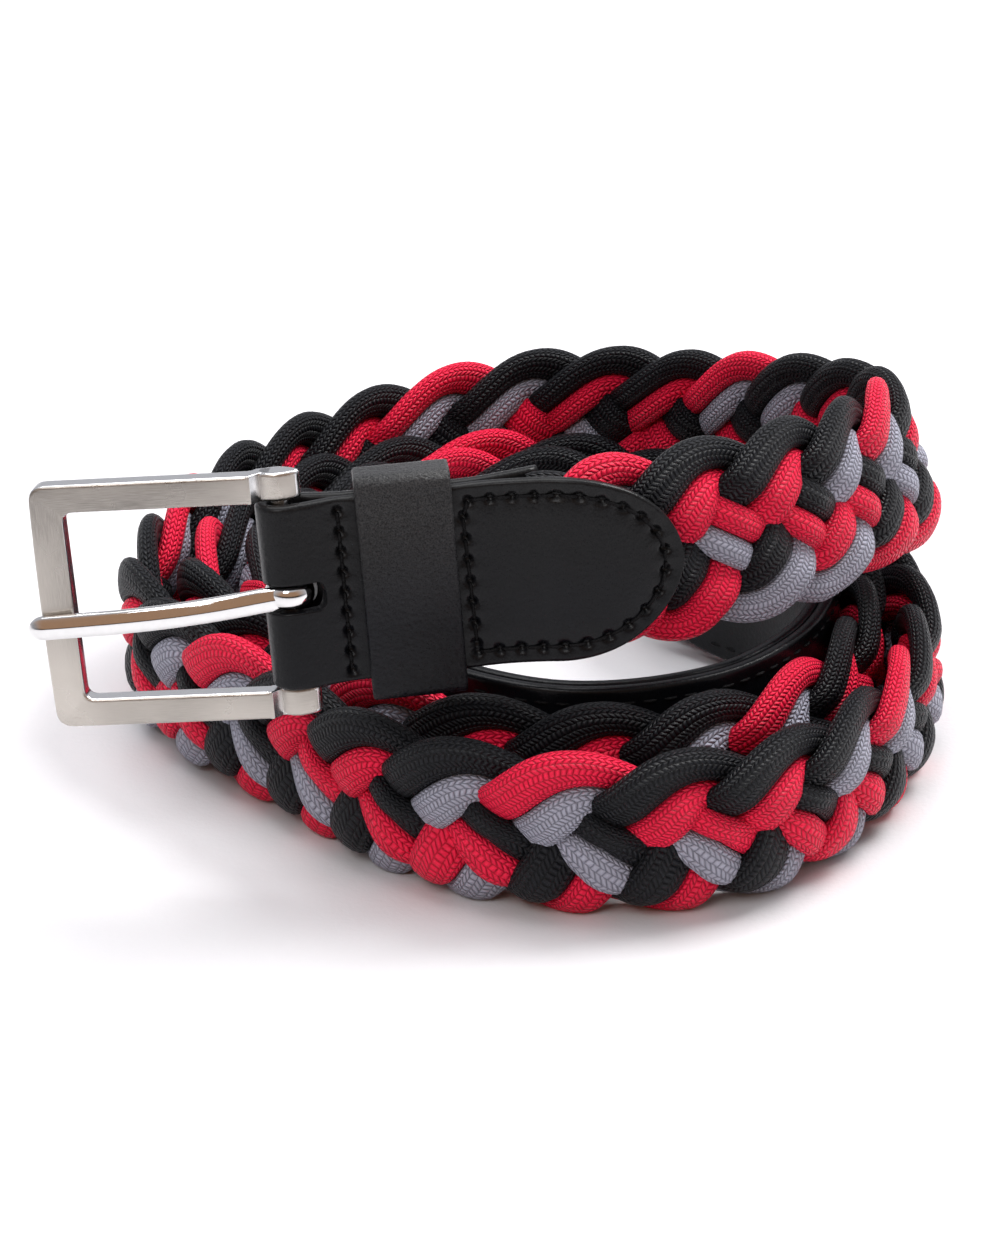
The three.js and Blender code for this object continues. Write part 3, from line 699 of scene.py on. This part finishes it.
def braid_room(s):
    """How much of its full thickness and width the braid has at s, where leather holds it."""
    cover = mix(CLOSED_OFFSET, OPEN_OFFSET, smoothstep(s, COVERS_PART, COVERS_OPEN)) - LEATHER / 2 - FIT_GAP
    loose = smoothstep(BILLET_START - s, 0, SOCKET_SQUEEZE)
    socket = mix(SOCKET_OFFSET - LEATHER / 2 - FIT_GAP, BRAID_THICKNESS / 2, loose)
    share = np.minimum(cover, socket) / (BRAID_THICKNESS / 2)
    return share, mix(0.84, 1.0, np.clip(2 * share - 1, 0, 1))


def cord_points(behind, side):
    """Rings of one cord of a strand: side is 1 for its upper cord and -1 for its lower one."""
    first = arch_at(CORD_START)
    last = arch_at(BILLET_START + CORD_END_IN_SOCKET)
    count = int((last - first) * RINGS_PER_PITCH)
    arch = np.linspace(first, last, count)
    s = place_of_arch(arch)
    across, out = strand_course(2 * (arch - behind) + 1.5)
    room, held = braid_room(s)
    out = out * CROSSING_RISE
    slope_s = np.gradient(s)
    slope_across = np.gradient(across)
    length = np.hypot(slope_s, slope_across)
    rising = np.clip(-np.sin(np.pi * (2 * (arch - behind) + 2) / 4), 0, 1)
    width = CORD_WIDTH * (1 + RISING_WIDTH * rising)
    shift = side * width / 2
    s = s - shift * slope_across / length
    across = (across + shift * slope_s / length) * held
    turn = np.linspace(0, 2 * np.pi, RING_SIDES, endpoint=False)
    wide = np.outer(width / 2, np.sign(np.cos(turn)) * np.abs(np.cos(turn)) ** 0.85)
    deep = np.sign(np.sin(turn)) * np.abs(np.sin(turn)) ** 0.85 * CORD_THICKNESS / 2
    ring_s = s[:, None] - wide * (slope_across / length)[:, None]
    ring_across = across[:, None] + wide * (slope_s / length * held)[:, None]
    ring_out = (out[:, None] + deep[None, :]) * room[:, None]
    along = np.concatenate([[0], np.cumsum(np.hypot(np.diff(s), np.diff(across)))])
    ring_s = ring_s - SKEW * ring_across
    return settled(ring_s, ring_across, ring_out), along


def settled(s, across, out):
    """Points of the braid where its own weight presses it down and curls its bottom edge in."""
    places, down, curl = np.array(SETTLE_ROWS).T
    down = np.interp(s, places, down)
    curl = np.interp(s, places, curl)
    share = np.clip(across / (BRAID_WIDTH / 2), -1, 1)
    across = across - down * SETTLED_MIDDLE * (1 - share**2)
    across = np.where(share > 0, across - down * SETTLED_TOP * share * BRAID_WIDTH / 2, across)
    across = np.where(share < 0, across + down * SETTLED_LOWER * share * (1 + share), across)
    below = np.maximum(-CURL_FROM - across, 0)
    angle = below / CURL_RADIUS
    curled_across = -CURL_FROM - (CURL_RADIUS + out) * np.sin(angle)
    curled_out = (CURL_RADIUS + out) * np.cos(angle) - CURL_RADIUS
    across = np.where(below > 0, mix(across, curled_across, curl), across)
    out = np.where(below > 0, mix(out, curled_out, curl), out)
    return on_belt(s, across, out)


def make_cord(strand, colour, behind, side):
    rings, along = cord_points(behind, side)
    faces = tube_faces(len(rings), RING_SIDES)
    place = "upper" if side > 0 else "lower"
    cord = make_piece(
        f"cord_{strand}_{place}",
        to_frame(rings),
        faces,
        CORD_FINISH[colour],
        "belt",
        uv=tube_uv(along, RING_SIDES),
    )
    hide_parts("braid")


# Leather



def strip_profile(half, thickness):
    """Across and through of a strip's section, rounded at its edges, its outer face finely divided."""
    edge = min(thickness * 0.4, half * 0.4)
    points = []
    for sign_a, sign_t, start in ((1, 1, 0), (-1, 1, 90), (-1, -1, 180), (1, -1, 270)):
        if start == 90:
            inner = half - edge
            points += [(a, thickness / 2) for a in np.linspace(inner, -inner, FACE_POINTS)[1:-1]]
        for step in range(5):
            angle = math.radians(start + 90 * step / 4)
            across = sign_a * (half - edge) + edge * math.cos(angle)
            through = sign_t * (thickness / 2 - edge) + edge * math.sin(angle)
            points.append((across, through))
    return np.array(points)


def strip_rings(rows, holes):
    """Rings of points from rows of s, out, turn, half and thickness, dented round the stitch holes."""
    rings = []
    for s, out, turn, half, thickness in rows:
        place, along, up, away = (v[0] for v in belt_axes(s))
        angle = math.radians(turn)
        skin = away * math.cos(angle) - along * math.sin(angle)
        middle = place + away * out
        profile = strip_profile(half, thickness)
        on_face = profile[:, 1] > thickness / 2 - 0.01
        through = profile[:, 1] - np.where(on_face, dents(s, profile[:, 0], holes), 0)
        rings.append(middle + up * profile[:, :1] + skin * through[:, None])
    return np.array(rings)


def dents(s, across, holes):
    """How deep the face is pressed in at each place: a pit at each hole and a soft groove along them."""
    if len(holes) == 0:
        return np.zeros(len(across))
    gap = np.hypot(s - holes[None, :, 0], across[:, None] - holes[None, :, 1])
    near = gap.min(axis=1)
    pit = HOLE_DEPTH * np.exp(-((near / HOLE_REACH) ** 4))
    return pit + GROOVE_DEPTH * np.exp(-((near / STITCH * 1.9) ** 2))


def make_strip(name, rows, finish, holes=()):
    rings = strip_rings(rows, np.array(holes))
    faces = tube_faces(len(rings), rings.shape[1])
    piece = make_piece(name, to_frame(rings), faces, finish, "belt")
    face_outward(piece)
    return piece


def cover_offset(s):
    return float(mix(CLOSED_OFFSET, OPEN_OFFSET, smoothstep(s, COVERS_PART, COVERS_OPEN)))


def fold_offset(s):
    if s >= KEEPER_START:
        return cover_offset(s)
    return float(mix(FOLD_RADIUS, CLOSED_OFFSET, smoothstep(s, 0.5, 10.5)))


def slope_of(offset, s):
    return math.degrees(math.atan2(offset(s + 0.5) - offset(s - 0.5), 1.0))


def pointed_half(from_tip, length):
    share = min(max(from_tip / length, 0), 1)
    return max(STRAP_WIDTH / 2 * math.sqrt(1 - (1 - share) ** 2), 0.6)


def steps(start, end, size):
    return np.linspace(start, end, max(2, round(abs(end - start) / size)) + 1)


def chape_rows():
    rows = [(s, -fold_offset(s), 180 - slope_of(fold_offset, s), STRAP_WIDTH / 2, LEATHER)
            for s in steps(BACK_COVER, 0.6, 1.5)]
    for angle in range(180, -1, -12):
        turn = math.radians(angle)
        behind, out = -FOLD_RADIUS * math.sin(turn), FOLD_RADIUS * math.cos(turn)
        rows.append((behind, out, angle, STRAP_WIDTH / 2, LEATHER))
    point = FRONT_COVER - FRONT_POINT
    front = list(steps(0.6, point, 0.45))
    front += [FRONT_COVER - FRONT_POINT * (1 - k / 52) ** 1.35 for k in range(1, 53)]
    for s in front:
        half = pointed_half(FRONT_COVER - s, FRONT_POINT)
        rows.append((s, fold_offset(s), slope_of(fold_offset, s), half, LEATHER))
    return rows


def cut(piece, cutter):
    """Cuts the cutter's shape out of the piece and removes the cutter."""
    modifier = piece.modifiers.new("cut", "BOOLEAN")
    modifier.operation = "DIFFERENCE"
    modifier.solver = "EXACT"
    modifier.object = cutter
    with bpy.context.temp_override(object=piece, active_object=piece, selected_objects=[piece]):
        bpy.ops.object.modifier_apply(modifier="cut")
    bpy.data.objects.remove(cutter)


def bare_object(name, editing):
    mesh = bpy.data.meshes.new(name)
    editing.to_mesh(mesh)
    editing.free()
    thing = bpy.data.objects.new(name, mesh)
    bpy.context.scene.collection.objects.link(thing)
    return thing


def slot_cutter():
    """A bar with a flattened round end across the fold and both covers, shorter towards the back."""
    radius = SLOT_WIDTH / 2
    end = SLOT_LENGTH - SLOT_END
    outline = [(-12, -radius), (end, -radius)]
    outline += [(end + SLOT_END * math.cos(a), radius * math.sin(a))
                for a in np.radians(np.linspace(-75, 75, 11))]
    outline += [(end, radius), (-12, radius)]
    editing = bmesh.new()
    slant = (SLOT_LENGTH - SLOT_BACK) / SLOT_LENGTH
    low = [editing.verts.new((x * (1 - 1.5 * slant) * MM, y * MM, -0.006)) for x, y in outline]
    high = [editing.verts.new((x * (1 + 0.5 * slant) * MM, y * MM, 0.006)) for x, y in outline]
    editing.faces.new(reversed(low))
    editing.faces.new(high)
    for k in range(len(outline)):
        after = (k + 1) % len(outline)
        editing.faces.new((low[k], low[after], high[after], high[k]))
    bmesh.ops.transform(editing, matrix=matrix_at(0), verts=editing.verts)
    return bare_object("slot_cutter", editing)


def make_chape():
    holes = [place[:2] for course in (front_cover_course(), cross_course()) for place in stitch_spots(course)]
    chape = make_strip("chape_leather", chape_rows(), SMOOTH_LEATHER, holes)
    cut(chape, slot_cutter())
    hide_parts("chape")


def billet_offset(s):
    spread = smoothstep(s - BILLET_START, SOCKET - SOCKET_TAPER / 2, SOCKET + SOCKET_TAPER)
    return float(mix(SOCKET_OFFSET, LEATHER / 2, spread))


def billet_rows(side):
    point = PATH_LENGTH - BILLET_POINT
    places = list(steps(BILLET_START, point, 2.0))
    places += [PATH_LENGTH - BILLET_POINT * (1 - k / 20) ** 1.6 for k in range(1, 21)]
    return [(s, side * billet_offset(s), side * slope_of(billet_offset, s),
             pointed_half(PATH_LENGTH - s, BILLET_POINT), LEATHER) for s in places]


def hole_cutter(number):
    s = PATH_LENGTH - FIRST_HOLE - number * HOLE_SPACING
    editing = bmesh.new()
    bmesh.ops.create_cone(
        editing, cap_ends=True, segments=20, radius1=HOLE_DIAMETER / 2 * MM, radius2=HOLE_DIAMETER / 2 * MM,
        depth=0.02, matrix=matrix_at(s),
    )
    return bare_object("hole_cutter", editing)


def make_billet():
    for side, name in ((1, "billet_outer_layer"), (-1, "billet_inner_layer")):
        layer = make_strip(name, billet_rows(side), SMOOTH_LEATHER)
        for number in range(HOLE_COUNT):
            cut(layer, hole_cutter(number))
        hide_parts("billet")


def keeper_outline(width, depth, radius):
    points = []
    for sign_a, sign_o, start in ((1, 1, 0), (-1, 1, 90), (-1, -1, 180), (1, -1, 270)):
        for step in range(7):
            angle = math.radians(start + 90 * step / 6)
            across = sign_a * (width / 2 - radius) + radius * math.cos(angle)
            out = sign_o * (depth / 2 - radius) + radius * math.sin(angle)
            points.append((across, out))
    return points


def make_keeper():
    """A loop of leather round the covers, its edges rounded."""
    width = STRAP_WIDTH + 2 * FIT_GAP + KEEPER_SLACK
    depth = 2 * (CLOSED_OFFSET + LEATHER / 2 + FIT_GAP)
    inner = keeper_outline(width, depth, KEEPER_CORNER / 4)
    outer = keeper_outline(width + 2 * KEEPER_LEATHER, depth + 2 * KEEPER_LEATHER, KEEPER_CORNER)
    rings = []
    section = ((0.0, 0.0), (0.0, 0.72), (0.15, 0.9), (0.5, 1.0), (KEEPER_LENGTH - 0.5, 1.0),
               (KEEPER_LENGTH - 0.15, 0.9), (KEEPER_LENGTH, 0.72), (KEEPER_LENGTH, 0.0))
    for s, share in section:
        outline = [(mix(a[0], b[0], share), mix(a[1], b[1], share)) for a, b in zip(inner, outer)]
        place, along, up, away = (v[0] for v in belt_axes(KEEPER_START - KEEPER_SLIP))
        rings.append([place + along * s + up * a + away * o for a, o in outline])
    rings = np.array(rings)
    sides = rings.shape[1]
    faces = tube_faces(len(rings), sides, closed_ends=False)
    last = (len(rings) - 1) * sides
    for side in range(sides):
        after = (side + 1) % sides
        faces.append((last + side, last + after, after, side))
    keeper = make_piece("keeper_loop", to_frame(rings), faces, KEEPER_GRAIN, "belt")
    face_outward(keeper)
    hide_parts("keeper")


# Stitches

def stitch_spots(course):
    """Places of the needle holes along a course of (s, across, out) places on the leather."""
    course = np.array(course)
    place = on_belt(course[:, 0], course[:, 1], course[:, 2])
    run = np.concatenate([[0], np.cumsum(np.linalg.norm(np.diff(place, axis=0), axis=1))])
    marks = np.linspace(0, run[-1], max(1, round(run[-1] / STITCH)) + 1)
    return np.stack([np.interp(marks, run, course[:, k]) for k in range(3)], axis=1)


def stitch_along(name, course, side=1):
    """Threads from hole to hole along the course, each end going down into its hole."""
    editing = bmesh.new()
    spots = stitch_spots(course)
    for a, b in zip(spots[:-1], spots[1:]):
        share = np.linspace(0.1, 0.9, 11)
        rise = THREAD * (1.15 * np.sin(np.pi * (share - 0.1) / 0.8) ** 0.6 - 1.05)
        line = a[None, :] + (b - a)[None, :] * share[:, None]
        add_thread(editing, on_belt(line[:, 0], line[:, 1], line[:, 2] + side * rise))
    mesh = bpy.data.meshes.new(name)
    editing.to_mesh(mesh)
    editing.free()
    piece = bpy.data.objects.new(name, mesh)
    bpy.context.scene.collection.objects.link(piece)
    mesh.materials.append(THREAD_FINISH)
    mesh.shade_smooth()
    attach(piece, "belt")


def add_thread(editing, points, sides=8):
    axes = unit(np.gradient(points, axis=0))
    rings = []
    for number, (point, axis) in enumerate(zip(points, axes)):
        side = unit(np.cross(axis, (0, 0, 1.0)) + 1e-6)
        other = np.cross(axis, side)
        radius = THREAD / 2 * (0.55 if number in (0, len(points) - 1) else 1)
        ring = []
        for k in range(sides):
            angle = 2 * math.pi * k / sides
            spot = point + (side * math.cos(angle) + other * math.sin(angle)) * radius
            ring.append(editing.verts.new(to_frame(spot)[0]))
        rings.append(ring)
    for low, high in zip(rings[:-1], rings[1:]):
        for k in range(sides):
            after = (k + 1) % sides
            editing.faces.new((low[k], low[after], high[after], high[k]))
    editing.faces.new(list(reversed(rings[0])))
    editing.faces.new(rings[-1])


def front_cover_course():
    """Along the cover's outline: from the bottom behind the point, round it, back along the top, and down."""
    start = KEEPER_START - KEEPER_SLIP + KEEPER_LENGTH + 1.9
    half = STRAP_WIDTH / 2 - STITCH_INSET
    tip = FRONT_COVER - STITCH_INSET
    length = FRONT_POINT - STITCH_INSET
    course = [(s, -half) for s in steps(start, tip - length, 2)]
    for angle in np.radians(np.linspace(-85, 85, 40)):
        course.append((tip - length * (1 - math.cos(angle)), half * math.sin(angle)))
    course += [(s, half) for s in steps(tip - length, start, 2)]
    course += [(start, a) for a in steps(half - 1.5, -half + 1.5, 2)]
    return [(s, a, fold_offset(s) + LEATHER / 2) for s, a in course]


def cross_course():
    """Straight across the strap, between the bar and the keeper."""
    half = STRAP_WIDTH / 2 - 2.2
    return [(CROSS_STITCHES, a, fold_offset(CROSS_STITCHES) + LEATHER / 2) for a in steps(-half, half, 2)]


def make_stitches():
    stitch_along("front_cover_stitches", front_cover_course())
    stitch_along("cross_stitches", cross_course())
    for side, face in ((1, "outer"), (-1, "inner")):
        for edge, place in ((1, "top"), (-1, "bottom")):
            half = edge * (STRAP_WIDTH / 2 - STITCH_INSET)
            row = [(s, half, side * (billet_offset(s) + LEATHER / 2))
                   for s in steps(BILLET_START + 3, PATH_LENGTH - BILLET_POINT + 4, 3)]
            stitch_along(f"billet_{face}_{place}_stitches", row, side)


# Buckle, in its own axes: the bar along y, the frame towards -x, its face towards +z

def buckle_matrix():
    return matrix_at(0) @ Matrix.Rotation(math.radians(FRAME_SWING), 4, "Y")


def rounded_path(points, radii, segments=6):
    """A closed outline with its corners rounded, each by its own radius."""
    outline = []
    count = len(points)
    for k, (point, radius) in enumerate(zip(points, radii)):
        here = np.array(point, float)
        before = unit(np.array(points[k - 1], float) - here)
        after = unit(np.array(points[(k + 1) % count], float) - here)
        if radius <= 0:
            outline.append(tuple(here))
            continue
        start = here + before * radius
        end = here + after * radius
        for step in range(segments + 1):
            share = step / segments
            spot = (1 - share) ** 2 * start + 2 * share * (1 - share) * here + share**2 * end
            outline.append(tuple(spot))
    return outline


def make_frame():
    """The three-sided frame, its arms stepping down to the ends curled round the bar."""
    outside = FRAME_INSIDE / 2 + ARM_WIDTH
    inside = FRAME_INSIDE / 2
    far = -FRAME_REACH
    near = -FRAME_REACH + FRONT_BAR_WIDTH
    end = -ARM_STEP
    bow = far - FRONT_BOW
    window = FRAME_WINDOW_CORNER * 1.5
    outline = rounded_path(
        [(end, -outside), (end, -inside), (near, -inside), (near, inside), (end, inside), (end, outside),
         (far, outside), (bow, 0), (far, -outside)],
        [0, 0, window, window, 0, 0, FRAME_CORNER, 14, FRAME_CORNER],
    )
    editing = bmesh.new()
    low = FRAME_RISE - FRAME_THICKNESS / 2
    bottom = [editing.verts.new((x * MM, y * MM, low * MM)) for x, y in outline]
    face = editing.faces.new(bottom)
    extruded = bmesh.ops.extrude_face_region(editing, geom=[face])
    moved = [v for v in extruded["geom"] if isinstance(v, bmesh.types.BMVert)]
    bmesh.ops.translate(editing, verts=moved, vec=(0, 0, FRAME_THICKNESS * MM))
    bmesh.ops.recalc_face_normals(editing, faces=editing.faces)
    soften(editing, editing.edges, 0.65)
    for side in (1, -1):
        add_arm_end(editing, side)
    bar = Matrix.Rotation(math.radians(90), 4, "X")
    bmesh.ops.create_cone(
        editing, cap_ends=True, segments=24, radius1=BAR_RADIUS * MM, radius2=BAR_RADIUS * MM,
        depth=(FRAME_INSIDE + ARM_WIDTH) * MM, matrix=bar,
    )
    bmesh.ops.recalc_face_normals(editing, faces=editing.faces)
    flat = editing.loops.layers.uv.new("UVMap")
    for face in editing.faces:
        for loop in face.loops:
            loop[flat].uv = (loop.vert.co.x / MM, loop.vert.co.y / MM)
    bmesh.ops.transform(editing, matrix=buckle_matrix(), verts=editing.verts)
    piece = finish_metal("frame_metal", editing, BRUSHED, "frame")
    piece.data.materials.append(POLISHED)
    face_axis = (buckle_matrix().to_3x3() @ Vector((0, 0, 1))).normalized()
    for polygon in piece.data.polygons:
        if abs(polygon.normal.dot(face_axis)) < 0.8:
            polygon.material_index = 1
    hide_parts("buckle_frame")


def soften(editing, edges, size):
    """Rounds the sharp ones of the edges."""
    sharp = [e for e in edges if len(e.link_faces) == 2 and e.calc_face_angle() > 0.6]
    bmesh.ops.bevel(editing, geom=sharp, offset=size * MM, segments=4, profile=0.6, affect="EDGES")


def add_arm_end(editing, side):
    """A slanted step down from the arm's face and the flattened curl round the bar."""
    top = FRAME_RISE + FRAME_THICKNESS / 2
    low = FRAME_RISE - FRAME_THICKNESS / 2
    step = [(-ARM_STEP - 0.6, top - 0.05), (-ARM_STEP, top - 0.05), (-ARM_STEP + 1.5, CURL_HEIGHT - 0.9),
            (-1, CURL_HEIGHT - 0.9), (-1, -CURL_HEIGHT + 0.6), (-CURL_LENGTH, -1.2),
            (-ARM_STEP, low + 0.1), (-ARM_STEP - 0.6, low + 0.1)]
    curl = []
    for k in range(44):
        angle = 2 * math.pi * k / 44
        thinned = 1 - CURL_POINT * max(0, math.cos(angle))
        curl.append((math.cos(angle) * CURL_LENGTH, math.sin(angle) * CURL_HEIGHT * thinned))
    for outline, bevel in ((step, 0.25), (curl, 0.7)):
        made = []
        for edge in (FRAME_INSIDE / 2, FRAME_INSIDE / 2 + ARM_WIDTH):
            made.append([editing.verts.new((x * MM, side * edge * MM, z * MM)) for x, z in outline])
        faces = [editing.faces.new(made[0]), editing.faces.new(list(reversed(made[1])))]
        for k in range(len(outline)):
            after = (k + 1) % len(outline)
            faces.append(editing.faces.new((made[0][k], made[1][k], made[1][after], made[0][after])))
        bmesh.ops.recalc_face_normals(editing, faces=faces)
        soften(editing, {e for face in faces for e in face.edges}, bevel)


def finish_metal(name, editing, finish, body):
    mesh = bpy.data.meshes.new(name)
    editing.to_mesh(mesh)
    editing.free()
    mesh.materials.append(finish)
    mesh.shade_smooth()
    mesh.set_sharp_from_angle(angle=math.radians(35))
    piece = bpy.data.objects.new(name, mesh)
    bpy.context.scene.collection.objects.link(piece)
    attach(piece, body)
    return piece


def tongue_section(half, top, under):
    """A broad facet on each side of a soft ridge, over a round underside."""
    return [(half * y, mix(under, top, share)) for y, share in TONGUE_SECTION]


def make_tongue():
    """The prong with its eye round the bar."""
    face = FRAME_RISE + FRAME_THICKNESS / 2
    reach, top, under = np.array(TONGUE_ROWS).T
    count = 64
    spots = reach[0] + (1 - reach[0]) * (1 - (1 - np.linspace(0, 1, count)) ** 1.5)
    high = smooth(np.interp(spots, reach, top)) * face
    low = smooth(np.interp(spots, reach, under)) * face
    editing = bmesh.new()
    rings = []
    for place, above, below in zip(spots, high, low):
        left = 1 - min(max((1 - place) * TONGUE_REACH / TONGUE_TIP, 0), 1)
        share = max(math.sqrt(1 - left**2), 0.12)
        middle = (above + below) / 2
        deep = (above - below) / 2 * share
        ring = []
        for y, z in tongue_section(TONGUE_WIDTH / 2 * share, middle + deep, middle - deep):
            spot = (-TONGUE_REACH * place * MM, (y - TONGUE_DROOP * place) * MM, z * MM)
            ring.append(editing.verts.new(spot))
        rings.append(ring)
    sides = len(rings[0])
    for low_ring, high_ring in zip(rings[:-1], rings[1:]):
        for k in range(sides):
            after = (k + 1) % sides
            editing.faces.new((low_ring[k], high_ring[k], high_ring[after], low_ring[after]))
    editing.faces.new(rings[0])
    editing.faces.new(list(reversed(rings[-1])))
    add_eye(editing)
    bmesh.ops.recalc_face_normals(editing, faces=editing.faces)
    bmesh.ops.transform(editing, matrix=buckle_matrix(), verts=editing.verts)
    piece = finish_metal("tongue_metal", editing, CHROME, "tongue")
    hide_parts("buckle_tongue")


def smooth(values):
    kernel = np.ones(9) / 9
    return np.convolve(np.pad(values, 4, mode="edge"), kernel, mode="valid")


def add_eye(editing):
    """The ring of the tongue round the bar, its outside rounded."""
    inner = BAR_SEAT
    half = TONGUE_WIDTH / 2
    section = [(inner, -half * 0.7), (inner, half * 0.7)]
    for k in range(13):
        angle = math.pi * (0.5 - k / 12)
        section.append((inner + 0.3 + (TONGUE_EYE - 0.3) * math.cos(angle) ** 0.7, half * math.sin(angle)))
    rings = []
    for k in range(40):
        angle = 2 * math.pi * k / 40
        rings.append([editing.verts.new((r * math.cos(angle) * MM, y * MM, r * math.sin(angle) * MM))
                      for r, y in section])
    for k in range(40):
        ring = rings[k]
        after = rings[(k + 1) % 40]
        for side in range(len(section)):
            other = (side + 1) % len(section)
            editing.faces.new((ring[side], ring[other], after[other], after[side]))


# Camera, floor and light

def make_camera():
    elevation = math.radians(CAMERA_ELEVATION)
    target = Vector(np.array(CAMERA_TARGET) + np.array(COIL_MIDDLE)) * MM
    back = Vector((0, -math.cos(elevation), math.sin(elevation)))
    camera = bpy.data.objects.new("camera", bpy.data.cameras.new("camera"))
    camera.data.lens = CAMERA_LENS
    camera.data.sensor_width = 36
    camera.data.clip_start = 0.01
    camera.location = target + back * CAMERA_DISTANCE * MM
    camera.rotation_euler = (math.radians(90) - elevation, 0, 0)
    bpy.context.scene.collection.objects.link(camera)
    bpy.context.scene.camera = camera


def make_floor():
    size = 3.0
    mesh = bpy.data.meshes.new("floor")
    corners = [(-size, -size, 0), (size, -size, 0), (size, size, 0), (-size, size, 0)]
    mesh.from_pydata(corners, [], [(0, 1, 2, 3)])
    mesh.materials.append(floor_material())
    floor = bpy.data.objects.new("floor", mesh)
    bpy.context.scene.collection.objects.link(floor)


def make_light(name, place, size, power, colour=(1, 1, 1), height=None):
    light = bpy.data.lights.new(name, "AREA")
    light.shape = "RECTANGLE"
    light.size = size
    light.size_y = height or size
    light.energy = power
    light.color = colour
    lamp = bpy.data.objects.new(name, light)
    lamp.location = place
    aim = Vector((0, 0, 0.03)) - Vector(place)
    lamp.rotation_euler = aim.to_track_quat("-Z", "Y").to_euler()
    bpy.context.scene.collection.objects.link(lamp)


def make_world():
    """Pale all round, with a warm dim room low in front that shows in the polished metal."""
    world = bpy.data.worlds.new("studio")
    world.use_nodes = True
    tree = world.node_tree
    background = tree.nodes["Background"]
    split = tree.nodes.new("ShaderNodeSeparateXYZ")
    tree.links.new(tree.nodes.new("ShaderNodeTexCoord").outputs["Generated"], split.inputs[0])
    height = tree.nodes.new("ShaderNodeMapRange")
    tree.links.new(split.outputs["Z"], height.inputs["Value"])
    height.interpolation_type = "SMOOTHSTEP"
    height.inputs["From Min"].default_value = 0.6
    height.inputs["From Max"].default_value = 0.82
    depth = tree.nodes.new("ShaderNodeMapRange")
    tree.links.new(split.outputs["Y"], depth.inputs["Value"])
    depth.inputs["From Min"].default_value = -0.75
    depth.inputs["From Max"].default_value = -0.1
    pale = tree.nodes.new("ShaderNodeMath")
    pale.operation = "MAXIMUM"
    tree.links.new(height.outputs["Result"], pale.inputs[0])
    tree.links.new(depth.outputs["Result"], pale.inputs[1])
    mixed = tree.nodes.new("ShaderNodeMix")
    mixed.data_type = "RGBA"
    tree.links.new(pale.outputs[0], mixed.inputs["Factor"])
    room = tree.nodes.new("ShaderNodeValToRGB")
    tree.links.new(split.outputs["Z"], room.inputs["Fac"])
    room.color_ramp.elements[0].position = 0.05
    room.color_ramp.elements[0].color = (0.04, 0.03, 0.025, 1)
    room.color_ramp.elements[1].position = 0.2
    room.color_ramp.elements[1].color = (0.7, 0.42, 0.26, 1)
    tree.links.new(room.outputs["Color"], mixed.inputs["A"])
    mixed.inputs["B"].default_value = (0.93, 0.94, 1.0, 1)
    tree.links.new(mixed.outputs["Result"], background.inputs["Color"])
    background.inputs["Strength"].default_value = 0.55
    bpy.context.scene.world = world


def make_lights():
    make_light("key", (0.55, 0.3, 0.85), 0.45, 11.0, (1.0, 0.99, 0.98))
    make_light("top", (-0.15, 0.15, 1.0), 0.7, 7.0)
    make_light("front_fill", (-0.35, -0.85, 0.9), 0.45, 4.0, (0.97, 0.98, 1.0))


# Scene

bpy.context.scene.view_settings.view_transform = "Standard"
make_camera()
for strand, upper, lower, behind in STRANDS:
    make_cord(strand, upper, behind, 1)
    make_cord(strand, lower, behind, -1)
make_chape()
make_billet()
make_keeper()
make_stitches()
make_frame()
make_tongue()
make_floor()
make_world()
make_lights()
